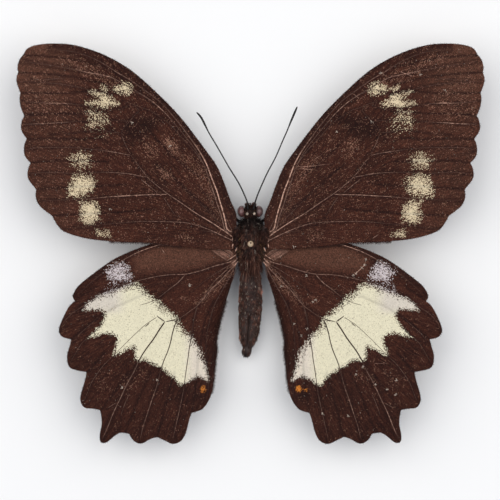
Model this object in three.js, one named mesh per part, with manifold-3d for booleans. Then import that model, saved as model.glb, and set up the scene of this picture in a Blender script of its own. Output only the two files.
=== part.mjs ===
// A large swallowtail butterfly, spread and dried on an insect pin, resting on its folded legs.
// Millimetres, +Z up (the wings' upper side), +Y towards the head, +X right as seen from above.
// The origin is the foot of the pin, on the pin's axis.
import * as THREE from "three";
import { mergeVertices } from "three/addons/utils/BufferGeometryUtils.js";
import Module from "manifold-3d";

const wasm = await Module();
wasm.setup();

// Driving dimensions
const GAP = 0.3; // clearance between pieces that touch
const SIDES = [["right", 1], ["left", -1]];
const MERGE_DISTANCE = 1e-5; // corners closer than this are one corner
const BALL = { around: 14, rows: 8 }; // facets of a plain round piece

const WING = { thickness: 0.3, dihedral: THREE.MathUtils.degToRad(3), rootX: 3.3, curveSteps: 3 };
const FOREWING_Z = 8.5; // underside of a front wing at its root
const HINDWING_Z = 7.7; // underside of a back wing at its root

const THORAX = { z: 6.4, depth: 1.16, sides: 20 }; // depth: height of the section over its width
const HEAD = { radii: [2.1, 1.35, 1.7], centre: [0, 7.5, 6.5] };
const EYE = { radii: [1.05, 1.3, 1.35], centre: [1.95, 7.7, 6.8] };
const TEGULA = { radii: [1.3, 2.6, 0.5], centre: [3.5, 2.0, 9.75] };

const ABDOMEN = { front: -6.95, length: 20, rings: 8, ringSteps: 3, ringBulge: 0.04, sides: 14 };
const ABDOMEN_Z = { front: 5.7, low: 2.95 }; // height of its axis where it starts and where it lies
const ABDOMEN_DROOP_END = 0.55; // part of its length after which it lies level
const ABDOMEN_BEND = 1.15; // how far its tip turns to the left

const PIN = { radius: 0.28, foot: 0, top: 15.2, sides: 12 };
const PIN_HEAD = { radius: 0.75, around: 14, rows: 10 };

const ANTENNA = { radius: 0.16, clubRadius: 0.26, clubLength: 4.5, steps: 20, sides: 6 };
const PROBOSCIS = { tube: 0.15, inner: 0.35, pitch: 0.42, turns: 2, centre: [0, 8.5, 3.3], steps: 32 };

const LIMB = { sides: 6, rows: 4, swelling: 1.15 }; // facets of a round limb, and how far its joints swell
const LEG_RADII = [0.42, 0.36, 0.26, 0.2]; // at the hip, knee, ankle and claw
const PALP_RADII = [0.32, 0.38, 0.25];

// Half-widths of the thorax along its length, as [half-width, y]
const THORAX_PROFILE = [
  [0, -6.6], [1.5, -6.3], [2.5, -5.2], [3.05, -2.6], [3.2, 0.4],
  [3.05, 2.8], [2.6, 4.6], [1.5, 5.7], [0, 5.9],
];
// Half-widths of the abdomen, as [half-width, part of its length from the front]
const ABDOMEN_PROFILE = [
  [1.7, 0], [2.45, 0.08], [2.8, 0.2], [2.85, 0.42], [2.6, 0.6], [2.4, 0.72],
  [2.25, 0.8], [1.65, 0.84], [1.05, 0.9], [1.05, 0.95], [0.75, 0.985],
];

// Wing outlines in plan, right-hand side, as [x, y]. Each row is one smooth stretch that starts
// where the row before it ends, and the corners between rows are the notches of the margin.
const FOREWING_ROOT = [3.3, 5.1];
const FOREWING_OUTLINE = [
  [[3.4, 7.2], [4.7, 10.2], [6.4, 14.9], [8, 18.5], [10.5, 22], [14, 26.7], [17.9, 31.4],
    [23.5, 36.9], [28.2, 40.9], [32.9, 43.7], [37.5, 45.6], [42.2, 46.8], [46.9, 47], [50.4, 46.6],
    [52.5, 45.7], [53.3, 44.3]],
  [[53.9, 43.7], [54.5, 42.4], [54.7, 41.1], [54.5, 40.3]],
  [[54.9, 39], [54.8, 37.6], [54, 35.4]],
  [[54.2, 34.1], [53.9, 32], [53.1, 30]],
  [[53.7, 28.7], [53.8, 26.7], [52.5, 24.6]],
  [[53.1, 23.1], [53, 20.7], [51.6, 19]],
  [[52.2, 17.5], [52.2, 15.3], [50.3, 12.8]],
  [[50.4, 10.9], [49.4, 8.8], [46.6, 6.6]],
  [[45.9, 5.3], [44.6, 3.5], [42.3, 2.3], [37.5, 1.1], [30.5, 0.5], [23.5, 0.3], [17.6, -0.5], [10.6, -1.1],
    [3.3, -1.4]],
];
const HINDWING_ROOT = [3.3, -1.8];
const HINDWING_OUTLINE = [
  [[5.2, 0.6], [9.4, 2.2], [14.6, 2.7], [19.3, 1.9], [23.5, 0], [25.9, -0.8], [29.4, -2.2], [32.9, -4],
    [37.6, -7.4], [40.6, -9.9], [41.8, -12], [41.7, -12.8], [41.3, -13.4]],
  [[42.8, -14.8], [44.4, -18], [45.1, -20.3], [44.4, -21.7], [43.2, -22.2], [42.2, -22.4]],
  [[42.5, -23.8], [43.2, -26.4], [42.6, -29], [40.2, -29.8], [38.5, -30.1]],
  [[39.2, -32.8], [40.1, -36.3], [39.2, -38.4], [37.1, -38.7], [35.4, -39]],
  [[35, -42], [35.5, -44.8], [35.3, -46.5], [34, -46.7], [32, -45.1], [30.6, -44.3]],
  [[28.6, -44.6]],
  [[28, -45.8], [26.8, -46.8], [25.4, -46.9], [23.8, -46], [22.1, -45.4]],
  [[20.2, -46.3], [18.4, -47.1], [16.5, -46.5], [15.3, -44.6], [14.5, -41.5], [13.9, -39.8]],
  [[12.8, -39.5], [11.1, -38.7], [9.4, -35.9], [8.7, -32.2], [8.4, -28.6], [8, -25.1],
    [8.1, -22.8], [7.1, -18], [5.8, -13.3], [4.2, -8.1], [3.3, -4.6]],
];

// Courses of the thin parts, as [x, y, z]. The two feelers differ; legs and palps mirror.
const ANTENNA_COURSE = {
  right: [[0.7, 8.3, 8.6], [1.2, 10.2, 8.9], [2.1, 12.6, 9.2], [3.9, 16.6, 9.6], [5.9, 20.4, 9.9],
    [7.5, 24.1, 10.1], [8.6, 26.6, 10.2], [9.7, 29.3, 10.2], [11, 32.3, 10.1]],
  left: [[-0.6, 8.3, 8.6], [-0.9, 10.2, 8.9], [-2.6, 14, 9.3], [-5.1, 18.1, 9.6], [-7.8, 22.8, 9.9],
    [-9.7, 26, 10.1], [-10.7, 28, 10.2], [-11.6, 29.7, 10.2], [-12.7, 31, 10.1]],
};
const LEG_COURSE = {
  front: [[1.3, 4.0, 3.0], [3.6, 6.2, 4.2], [4.5, 4.2, 1.3], [5.2, 7.4, 0.21]],
  middle: [[1.7, 0.6, 2.5], [5.2, 1.4, 4.3], [6.4, -0.8, 1.1], [7.5, -3.2, 0.21]],
  hind: [[1.6, -2.8, 2.6], [4.4, -4.6, 4.1], [5.4, -7.8, 1.1], [6.4, -10.4, 0.21]],
};
const PALP_COURSE = [[0.75, 8.7, 5.1], [0.8, 9.2, 6.0], [0.8, 9.25, 6.9]];

// Finishes: each mesh gets a material of its own
const FINISH = {
  wing: { color: 0x3a211c, roughness: 0.75, metalness: 0 },
  body: { color: 0x1d1512, roughness: 0.95, metalness: 0 },
  eye: { color: 0x3a2426, roughness: 0.35, metalness: 0 },
  palp: { color: 0x3d2f28, roughness: 0.95, metalness: 0 },
  horn: { color: 0x171312, roughness: 0.55, metalness: 0 },
  steel: { color: 0x8d8f92, roughness: 0.35, metalness: 0.9 },
  pinHead: { color: 0xc9b79b, roughness: 0.45, metalness: 0 },
};

const vector = ([x, y, z]) => new THREE.Vector3(x, y, z);
const mirrored = (course, side) => course.map(([x, y, z]) => [x * side, y, z]);
const grown = (radii) => radii.map((radius) => radius + GAP);

// Turns a closed geometry into a solid that can be joined and cut.
function solid(geometry) {
  const bare = geometry.clone();
  bare.deleteAttribute("normal");
  bare.deleteAttribute("uv");
  const merged = mergeVertices(bare, MERGE_DISTANCE);
  const vertProperties = new Float32Array(merged.attributes.position.array);
  const triVerts = new Uint32Array(merged.index.array);
  return new wasm.Manifold(new wasm.Mesh({ numProp: 3, vertProperties, triVerts }));
}

// Turns a solid back into a geometry with flat faces.
function geometryOf(manifold) {
  const { vertProperties, triVerts } = manifold.getMesh();
  const geometry = new THREE.BufferGeometry();
  geometry.setAttribute("position", new THREE.BufferAttribute(vertProperties, 3));
  geometry.setIndex(new THREE.BufferAttribute(triVerts, 1));
  geometry.computeVertexNormals();
  return geometry;
}

function cut(geometry, ...tools) {
  return geometryOf(tools.reduce((left, tool) => left.subtract(solid(tool)), solid(geometry)));
}

function join(geometries) {
  return geometryOf(geometries.map(solid).reduce((sum, next) => sum.add(next)));
}

function ellipsoid(radii, centre, around = BALL.around, rows = BALL.rows) {
  const geometry = new THREE.SphereGeometry(1, around, rows);
  return geometry.scale(...radii).translate(...centre);
}

// A tapered rod between two points.
function rod(start, end, startRadius, endRadius, sides = LIMB.sides) {
  const along = end.clone().sub(start);
  const geometry = new THREE.CylinderGeometry(endRadius, startRadius, along.length(), sides);
  const up = new THREE.Vector3(0, 1, 0);
  const turn = new THREE.Quaternion().setFromUnitVectors(up, along.clone().normalize());
  const middle = start.clone().add(end).multiplyScalar(0.5);
  return geometry.applyQuaternion(turn).translate(middle.x, middle.y, middle.z);
}

// A jointed limb: tapered rods with a slightly swollen ball at each bend.
function limb(course, radii) {
  const points = course.map(vector);
  const balls = points.slice(1, -1).map((point, i) => {
    const swollen = radii[i + 1] * LIMB.swelling;
    return ellipsoid([swollen, swollen, swollen], point.toArray(), LIMB.sides, LIMB.rows);
  });
  const rods = points.slice(1).map((point, i) => rod(points[i], point, radii[i], radii[i + 1]));
  return join([...balls, ...rods]);
}

function circle(radius, sides) {
  const corners = Array.from({ length: sides }, (_, i) => {
    const angle = (2 * Math.PI * i) / sides;
    return new THREE.Vector2(radius * Math.cos(angle), radius * Math.sin(angle));
  });
  return new THREE.Shape(corners);
}

function tube(curve, radius, steps, sides) {
  return new THREE.ExtrudeGeometry(circle(radius, sides), { extrudePath: curve, steps, curveSegments: 1 });
}

function antenna(side) {
  const curve = new THREE.CatmullRomCurve3(ANTENNA_COURSE[side].map(vector));
  const tip = curve.getPointAt(1);
  const clubStart = curve.getPointAt(1 - ANTENNA.clubLength / curve.getLength());
  const shaft = tube(curve, ANTENNA.radius, ANTENNA.steps, ANTENNA.sides);
  const club = rod(clubStart, tip, ANTENNA.radius, ANTENNA.clubRadius);
  return join([shaft, club]);
}

// The coiled tongue: a flat spiral that stands on edge below the head.
class CoilCurve extends THREE.Curve {
  getPoint(t, target = new THREE.Vector3()) {
    const angle = 2 * Math.PI * PROBOSCIS.turns * t;
    const radius = PROBOSCIS.inner + PROBOSCIS.pitch * PROBOSCIS.turns * t;
    const [x, y, z] = PROBOSCIS.centre;
    return target.set(x, y + radius * Math.cos(angle), z + radius * Math.sin(angle));
  }
}

function eye(side) {
  const [x, y, z] = EYE.centre;
  return ellipsoid(EYE.radii, [x * side, y, z]);
}

// The head capsule, hollowed where the eyes and palps sit.
function head() {
  const sockets = SIDES.map(([, side]) => {
    const [x, y, z] = EYE.centre;
    return ellipsoid(grown(EYE.radii), [x * side, y, z]);
  });
  const palpSeats = SIDES.map(([, side]) => limb(mirrored(PALP_COURSE, side), grown(PALP_RADII)));
  return cut(ellipsoid(HEAD.radii, HEAD.centre), ...sockets, ...palpSeats);
}

// The thorax, turned about its length, with the bore that the pin passes through.
function thorax() {
  const profile = THORAX_PROFILE.map(([radius, y]) => new THREE.Vector2(radius, y));
  const body = new THREE.LatheGeometry(profile, THORAX.sides);
  body.scale(1, 1, THORAX.depth).translate(0, 0, THORAX.z);
  const low = new THREE.Vector3(0, 0, PIN.foot);
  const bore = rod(low, new THREE.Vector3(0, 0, PIN.top), PIN.radius + GAP, PIN.radius + GAP, PIN.sides);
  return cut(body, bore);
}

// The half-width of the abdomen at a part of its length, with a slight bulge on each ring.
function abdomenRadius(part) {
  const after = ABDOMEN_PROFILE.findIndex(([, at]) => at >= part);
  const [endRadius, end] = ABDOMEN_PROFILE[Math.max(after, 1)];
  const [startRadius, start] = ABDOMEN_PROFILE[Math.max(after, 1) - 1];
  const plain = THREE.MathUtils.mapLinear(part, start, end, startRadius, endRadius);
  return plain * (1 + ABDOMEN.ringBulge * (Math.abs(Math.sin(Math.PI * ABDOMEN.rings * part)) - 1));
}

// The height of the abdomen's axis at a part of its length.
function abdomenHeight(part) {
  const drop = THREE.MathUtils.smoothstep(part, 0, ABDOMEN_DROOP_END);
  return THREE.MathUtils.lerp(ABDOMEN_Z.front, ABDOMEN_Z.low, drop);
}

// The abdomen: ringed, drooping from the thorax to the surface, its tip turned to the left.
function abdomen() {
  const last = ABDOMEN_PROFILE.at(-1)[1];
  const steps = ABDOMEN.rings * ABDOMEN.ringSteps;
  const profile = [new THREE.Vector2(0, -1)];
  for (let i = 0; i <= steps; i += 1) {
    const part = last * (1 - i / steps);
    profile.push(new THREE.Vector2(abdomenRadius(part), -part));
  }
  profile.push(new THREE.Vector2(0, 0));
  const geometry = new THREE.LatheGeometry(profile, ABDOMEN.sides);
  const places = geometry.attributes.position;
  for (let i = 0; i < places.count; i += 1) {
    const part = -places.getY(i);
    places.setX(i, places.getX(i) - ABDOMEN_BEND * part ** 3);
    places.setY(i, ABDOMEN.front - ABDOMEN.length * part);
    places.setZ(i, places.getZ(i) + abdomenHeight(part));
  }
  return geometry;
}

// A flat wing blade, cut to its outline, in plan and measured from the root line.
function blade(root, rows, side) {
  const place = ([x, y]) => new THREE.Vector2(side * (x - WING.rootX), y);
  const shape = new THREE.Shape();
  const start = place(root);
  shape.moveTo(start.x, start.y);
  for (const row of rows) {
    if (row.length === 1) {
      const end = place(row[0]);
      shape.lineTo(end.x, end.y);
    } else {
      shape.splineThru(row.map(place));
    }
  }
  shape.closePath();
  return new THREE.ExtrudeGeometry(shape, {
    depth: WING.thickness, bevelEnabled: false, curveSegments: WING.curveSteps,
  });
}

const butterfly = new THREE.Group();

function add(name, geometry, finish) {
  const mesh = new THREE.Mesh(geometry, new THREE.MeshStandardMaterial(FINISH[finish]));
  mesh.name = name;
  butterfly.add(mesh);
  return mesh;
}

// Places a wing at its root line, raised outwards by the dihedral.
function addWing(name, geometry, side, rootZ) {
  const wing = add(name, geometry, "wing");
  wing.position.set(WING.rootX * side, 0, rootZ);
  wing.rotation.y = -WING.dihedral * side;
}

function addPin() {
  const foot = new THREE.Vector3(0, 0, PIN.foot);
  const top = new THREE.Vector3(0, 0, PIN.top);
  add("pin_shaft", rod(foot, top, PIN.radius, PIN.radius, PIN.sides), "steel");
  const headZ = PIN.top + GAP + PIN_HEAD.radius;
  const ball = new THREE.SphereGeometry(PIN_HEAD.radius, PIN_HEAD.around, PIN_HEAD.rows);
  add("pin_head", ball.rotateX(Math.PI / 2), "pinHead").position.z = headZ;
}

add("head", head(), "body");
add("thorax", thorax(), "body");
add("abdomen", abdomen(), "body");
const tongue = tube(new CoilCurve(), PROBOSCIS.tube, PROBOSCIS.steps, ANTENNA.sides);
add("proboscis", tongue, "horn");
for (const [name, side] of SIDES) {
  const [tegulaX, tegulaY, tegulaZ] = TEGULA.centre;
  add(`eye_${name}`, eye(side), "eye");
  add(`antenna_${name}`, antenna(name), "horn");
  add(`palp_${name}`, limb(mirrored(PALP_COURSE, side), PALP_RADII), "palp");
  add(`tegula_${name}`, ellipsoid(TEGULA.radii, [tegulaX * side, tegulaY, tegulaZ]), "body");
  for (const [pair, course] of Object.entries(LEG_COURSE)) {
    add(`leg_${pair}_${name}`, limb(mirrored(course, side), LEG_RADII), "horn");
  }
  addWing(`forewing_${name}`, blade(FOREWING_ROOT, FOREWING_OUTLINE, side), side, FOREWING_Z);
  addWing(`hindwing_${name}`, blade(HINDWING_ROOT, HINDWING_OUTLINE, side), side, HINDWING_Z);
}
addPin();

export default butterfly;
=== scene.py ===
# %% [markdown]
# # A spread butterfly on a pin
# This lesson dresses a finished CAD butterfly for the camera: thin veined wings dusted with scales,
# a furry body, domed eyes, clubbed feelers, jointed legs and an insect pin. The CAD model is the
# frame: it fixes every size and place, so each new piece is made where its CAD twin already lies.

import math

import bmesh
import bpy
import numpy as np
from mathutils import Matrix, Vector, noise


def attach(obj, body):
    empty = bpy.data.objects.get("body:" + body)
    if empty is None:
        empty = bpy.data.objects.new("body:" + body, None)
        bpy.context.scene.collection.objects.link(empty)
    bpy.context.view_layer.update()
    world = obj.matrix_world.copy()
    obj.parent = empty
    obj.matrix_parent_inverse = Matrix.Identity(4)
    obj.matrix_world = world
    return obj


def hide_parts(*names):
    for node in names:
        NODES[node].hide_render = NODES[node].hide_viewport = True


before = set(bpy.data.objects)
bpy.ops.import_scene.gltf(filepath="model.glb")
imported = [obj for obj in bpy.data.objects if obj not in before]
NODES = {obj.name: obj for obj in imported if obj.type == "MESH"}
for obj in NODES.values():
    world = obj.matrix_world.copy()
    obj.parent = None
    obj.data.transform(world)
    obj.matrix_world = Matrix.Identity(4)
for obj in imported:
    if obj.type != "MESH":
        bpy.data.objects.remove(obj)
bpy.context.view_layer.update()


# %% [markdown]
# ## Units, sides and chance
# Blender works in metres and a butterfly is thought of in millimetres, so every length is written
# in millimetres and scaled once, where a mesh is finished. Right and left pieces mirror each other.
# Every random draw comes from a numbered seed, and so does the noise module's, which otherwise
# starts from the clock, so that each run gives the same hairs in the same places.

# %% Units and sides
MM = 0.001
BODY = "root"
SIDES = {"right": 1, "left": -1}
NOISE_SEED = 5
noise.seed_set(NOISE_SEED)


def chance(seed):
    """A stream of random numbers that is the same on every run."""
    return np.random.default_rng(seed)


def blend_in(low, high, value):
    """0 below low, 1 above high, and a soft S between them."""
    t = np.clip((value - low) / (high - low), 0, 1)
    return t * t * (3 - 2 * t)


# %% [markdown]
# ## Courses
# Veins, feelers and legs all follow a course: a few measured points with a smooth line through
# them. A Catmull-Rom curve passes through every point, which a Bezier made by hand doesn't do
# without tuning its handles.

# %% Smooth courses
def smooth_course(points, step):
    """A Catmull-Rom line through the points, with a new point about every step."""
    given = np.array(points, float)
    padded = np.vstack([2 * given[0] - given[1], given, 2 * given[-1] - given[-2]])
    runs = []
    for p0, p1, p2, p3 in zip(padded, padded[1:], padded[2:], padded[3:]):
        count = max(1, round(np.linalg.norm(p2 - p1) / step))
        t = (np.arange(count) / count)[:, None]
        linear, square, cube = p2 - p0, 2 * p0 - 5 * p1 + 4 * p2 - p3, 3 * p1 - p0 - 3 * p2 + p3
        runs.append(0.5 * (2 * p1 + linear * t + square * t**2 + cube * t**3))
    return np.vstack(runs + [given[-1:]])


def along(course):
    """How far along its length each point lies, from 0 to 1."""
    steps = np.linalg.norm(np.diff(course, axis=0), axis=1)
    return np.concatenate([[0], np.cumsum(steps)]) / steps.sum()


def read_off(table, part):
    """Values between the rows of a table, each a share of the length and the value there."""
    return np.interp(part, *zip(*table))


# %% [markdown]
# ## Swept tubes
# A tube starts as one circle. Its rim is extruded and moved to the next point of the course, again
# and again, and at both ends the last ring is drawn together into a point. Doing this with bmesh
# gives full control over the radius at every ring, so the same helper makes a tapering vein, a
# beaded feeler and a jointed leg.

# %% Sweep a ring along a course
def next_ring(bm, edges):
    """Extrudes a rim of edges and gives the new rim's points and edges."""
    grown = bmesh.ops.extrude_edge_only(bm, edges=edges)["geom"]
    ring = [g for g in grown if isinstance(g, bmesh.types.BMVert)]
    return ring, [g for g in grown if isinstance(g, bmesh.types.BMEdge)]


def close_ends(bm, *ends):
    """Draws each end's ring together into a point and turns all faces outwards."""
    for ring, centre in ends:
        bmesh.ops.pointmerge(bm, verts=ring, merge_co=Vector(centre))
    bmesh.ops.recalc_face_normals(bm, faces=bm.faces)
    return bm


def ring_frame(course, index, up):
    """The directions sideways and upwards of a ring that faces along the course."""
    ahead = course[min(index + 1, len(course) - 1)] - course[max(index - 1, 0)]
    ahead = Vector(ahead).normalized()
    sideways = ahead.cross(Vector(up)).normalized()
    return sideways, sideways.cross(ahead).normalized()


def sweep(course, radii, sides, up=(0, 0, 1), section=None):
    """A closed tube as a new bmesh, in mm. section(angle, part) is a factor on the ring's size."""
    bm = bmesh.new()
    parts = along(course)
    ring = bmesh.ops.create_circle(bm, segments=sides, radius=1)["verts"]
    angles = {v: math.atan2(v.co.y, v.co.x) for v in ring}
    edges = bm.edges[:]
    ends = []
    for index, centre in enumerate(course):
        if index:
            before = set(ring)
            ring, edges = next_ring(bm, edges)
            for v in ring:
                behind = next(e.other_vert(v) for e in v.link_edges if e.other_vert(v) in before)
                angles[v] = angles[behind]
        right, above = ring_frame(course, index, up)
        for v in ring:
            swell = section(angles[v], parts[index]) if section else 1
            wide, high = radii[index] if np.ndim(radii[index]) else (radii[index],) * 2
            across = right * (wide * swell * math.cos(angles[v]))
            v.co = Vector(centre) + (across + above * (high * swell * math.sin(angles[v])))
        ends.append((ring, centre))
    return close_ends(bm, ends[0], ends[-1])


def on_side(bm, side):
    """Mirrors a right-hand bmesh for the left side, faces still outwards."""
    if side == "left":
        bmesh.ops.scale(bm, vec=Vector((-1, 1, 1)), verts=bm.verts)
        bmesh.ops.reverse_faces(bm, faces=bm.faces)
    return bm


def ball(rows, across, centre, shape):
    """A sphere of radius one whose points move to shape(point), and then by centre, in mm."""
    bm = bmesh.new()
    bmesh.ops.create_uvsphere(bm, u_segments=across, v_segments=rows, radius=1)
    for v in bm.verts:
        v.co = Vector(shape(v.co))
    bmesh.ops.translate(bm, verts=bm.verts, vec=centre)
    return bm


def gather(parts):
    """Joins several bmeshes into one."""
    whole = bmesh.new()
    for part in parts:
        mesh = bpy.data.meshes.new("part")
        part.to_mesh(mesh)
        part.free()
        whole.from_mesh(mesh)
        bpy.data.meshes.remove(mesh)
    return whole


# %% [markdown]
# ## Finishing a piece
# Whatever makes a mesh, it ends the same way: scaled to metres, given its material, made to ride on
# the body that carries it, named, and put in place of its CAD twin, which is then hidden. Extruding
# lists a bmesh's faces in a new order on every run, so they are put in order first: the hairs that
# are laid on them later then fall in the same places.

# %% Finish a piece
def in_order(name, bm):
    """The bmesh as a mesh with sorted faces, each of which starts at its lowest point number."""
    bm.verts.index_update()
    faces = []
    for f in bm.faces:
        corners = [v.index for v in f.verts]
        lowest = corners.index(min(corners))
        faces.append(corners[lowest:] + corners[:lowest])
    mesh = bpy.data.meshes.new(name)
    mesh.from_pydata([v.co for v in bm.verts], [], sorted(faces))
    bm.free()
    return mesh


def piece(name, bm, materials, twins=()):
    """Turns a bmesh in mm into a finished object."""
    bmesh.ops.scale(bm, vec=Vector((MM, MM, MM)), verts=bm.verts)
    mesh = in_order(name, bm)
    mesh.shade_smooth()
    return settle(name, mesh, materials, twins)


def settle(name, mesh, materials, twins=()):
    """Puts a mesh in the scene as a piece that rides on the body and stands for its CAD twins."""
    for material in materials:
        mesh.materials.append(material)
    made = bpy.data.objects.new(name, mesh)
    bpy.context.scene.collection.objects.link(made)
    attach(made, BODY)
    if twins:
        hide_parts(*twins)
    return made


def set_values(mesh, name, values, kind="FLOAT"):
    """Writes one value a vertex: a number, a colour or a vector."""
    layer = mesh.attributes.new(name, kind, "POINT")
    field = {"FLOAT": "value", "FLOAT_COLOR": "color", "FLOAT_VECTOR": "vector"}[kind]
    layer.data.foreach_set(field, np.ascontiguousarray(values, np.float32).ravel())


def places(mesh):
    """Every vertex's place, in mm."""
    flat = np.empty(len(mesh.vertices) * 3, np.float32)
    mesh.vertices.foreach_get("co", flat)
    return flat.reshape(-1, 3).astype(float) / MM


# %% [markdown]
# ## Colours and materials
# Colours are read off the specimen as they look on a screen, and turned to the linear values that a
# renderer adds up. A small class keeps node building short: each call makes one node, sets its
# properties and plugs in its inputs. What is the same all over a surface is set on the surface's
# own sockets.

# %% Colour and node helpers
LAMP_LEVEL = 1.16


def linear(*screen):
    """Screen values from 0 to 255, as seen under the lamps, as the linear colour of the surface."""
    shares = [c / 255 for c in screen]
    lit = [c / 12.92 if c <= 0.04045 else ((c + 0.055) / 1.055) ** 2.4 for c in shares]
    return [c / LAMP_LEVEL for c in lit]


class Finish:
    """A material with a Principled surface, and short ways to add nodes to it."""

    def __init__(self, name, **sockets):
        self.material = bpy.data.materials.new(name)
        self.material.use_nodes = True
        self.tree = self.material.node_tree
        self.surface = self.tree.nodes["Principled BSDF"]
        for socket, value in sockets.items():
            self.surface.inputs[socket.replace("_", " ")].default_value = value

    def node(self, kind, inputs, output=0, **settings):
        """Adds a node, plugs in or sets its inputs, and gives one of its outputs."""
        made = self.tree.nodes.new("ShaderNode" + kind)
        for setting, value in settings.items():
            setattr(made, setting, value)
        for socket, value in inputs.items():
            if isinstance(value, bpy.types.NodeSocket):
                self.tree.links.new(value, made.inputs[socket])
            else:
                made.inputs[socket].default_value = value
        return made.outputs[output]

    def wire(self, socket, value):
        self.tree.links.new(value, self.surface.inputs[socket])

    def spots(self):
        """Each point's place on the object, in metres."""
        return self.node("TexCoord", {}, "Object")

    def attribute(self, name, output="Fac"):
        return self.node("Attribute", {}, output, attribute_name=name)

    def noise(self, scale, where=None, detail=3.0, roughness=0.55):
        settings = {"Scale": scale, "Detail": detail, "Roughness": roughness}
        return self.node("TexNoise", {"Vector": where or self.spots(), **settings})

    def cells(self, scale, output="Color"):
        return self.node("TexVoronoi", {"Vector": self.spots(), "Scale": scale}, output)

    def math(self, operation, a, b=0.0, c=0.0):
        return self.node("Math", {0: a, 1: b, 2: c}, operation=operation)

    def positive(self, value):
        return self.math("MAXIMUM", value, 0.0)

    def remap(self, value, low, high, new_low=0.0, new_high=1.0):
        return self.node("MapRange", {0: value, 1: low, 2: high, 3: new_low, 4: new_high})

    def mix(self, amount, a, b, blend="MIX"):
        a, b = ((*colour, 1) if isinstance(colour, list) else colour for colour in (a, b))
        return self.node("Mix", {0: amount, 6: a, 7: b}, 2, data_type="RGBA", blend_type=blend)

    def dim(self, colour, level):
        """The colour times a grey level."""
        grey = self.node("CombineColor", {0: level, 1: level, 2: level})
        return self.mix(1.0, colour, grey, "MULTIPLY")

    def bump(self, height, strength, distance):
        inputs = {"Height": height, "Strength": strength, "Distance": distance}
        self.wire("Normal", self.node("Bump", inputs))


# %% [markdown]
# ## Camera, floor and light
# The specimen was photographed straight from above on a white ground, between soft lamps. The
# camera is a long lens, so that the raised wing tips aren't spread apart, and the view transform is
# Standard, because the default one greys a white ground. Two broad lamps at the sides, a small one
# above the head and a faint blue sky make the soft shadows beside the body.

# %% Camera
CAMERA_PLACE = (-0.12 * MM, -1.41 * MM, 499.4 * MM)
LENS = 150
SENSOR = 36
camera_data = bpy.data.cameras.new("camera")
camera_data.lens = LENS
camera_data.sensor_width = SENSOR
camera_data.clip_start = 10 * MM
camera = bpy.data.objects.new("camera", camera_data)
camera.location = CAMERA_PLACE
bpy.context.scene.collection.objects.link(camera)
bpy.context.scene.camera = camera
bpy.context.scene.view_settings.view_transform = "Standard"

# %% Floor
FLOOR_HALF = 3000
FLOOR_DEPTH = 0.02
FLOOR_WHITES = [0.852, 0.838, 0.828], [0.866, 0.852, 0.842]
paper = Finish("white_ground", Roughness=0.95, Specular_IOR_Level=0.1)
paper.wire("Base Color", paper.mix(paper.noise(40), *FLOOR_WHITES))
floor_bm = bmesh.new()
bmesh.ops.create_grid(floor_bm, x_segments=1, y_segments=1, size=FLOOR_HALF * MM)
floor_mesh = bpy.data.meshes.new("floor")
floor_bm.to_mesh(floor_mesh)
floor_bm.free()
floor_mesh.materials.append(paper.material)
floor = bpy.data.objects.new("floor", floor_mesh)
floor.location.z = -FLOOR_DEPTH * MM
bpy.context.scene.collection.objects.link(floor)


# %% Lamps
LAMP_TINT = (1.0, 0.98, 0.935)
SKY_TINT = (0.78, 0.86, 1.0, 1)
SKY_STRENGTH = 0.48


def lamp(name, place, size, power):
    """A round lamp that faces the specimen, in metres and watts."""
    data = bpy.data.lights.new(name, "AREA")
    data.shape = "DISK"
    data.size = size
    data.energy = power
    data.color = LAMP_TINT
    made = bpy.data.objects.new(name, data)
    made.location = place
    made.rotation_euler = (-Vector(place)).to_track_quat("-Z", "Y").to_euler()
    bpy.context.scene.collection.objects.link(made)


lamp("lamp_left", (-0.58, 0.14, 0.72), 1.2, 5.4)
lamp("lamp_right", (0.58, 0.14, 0.72), 1.2, 5.4)
lamp("lamp_head", (0.0, 0.5, 0.9), 0.8, 1.15)
sky = bpy.data.worlds.new("sky")
sky.use_nodes = True
sky.node_tree.nodes["Background"].inputs["Color"].default_value = SKY_TINT
sky.node_tree.nodes["Background"].inputs["Strength"].default_value = SKY_STRENGTH
bpy.context.scene.world = sky
print("lamps:", len(bpy.data.lights), "floor half, mm:", FLOOR_HALF)

# %% [markdown]
# ## The veins
# A wing is a membrane stretched on stiff veins. Each vein below is a course on the right-hand wing,
# in millimetres, with its radius near the root and a row of tones along it: 0 where scales hide the
# vein, 1 where it is rubbed bare and shines pinkish tan. Between the veins, shallow folds run out
# to the notches of the margin. Scratches are drawn like veins, but each wing has its own.

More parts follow.
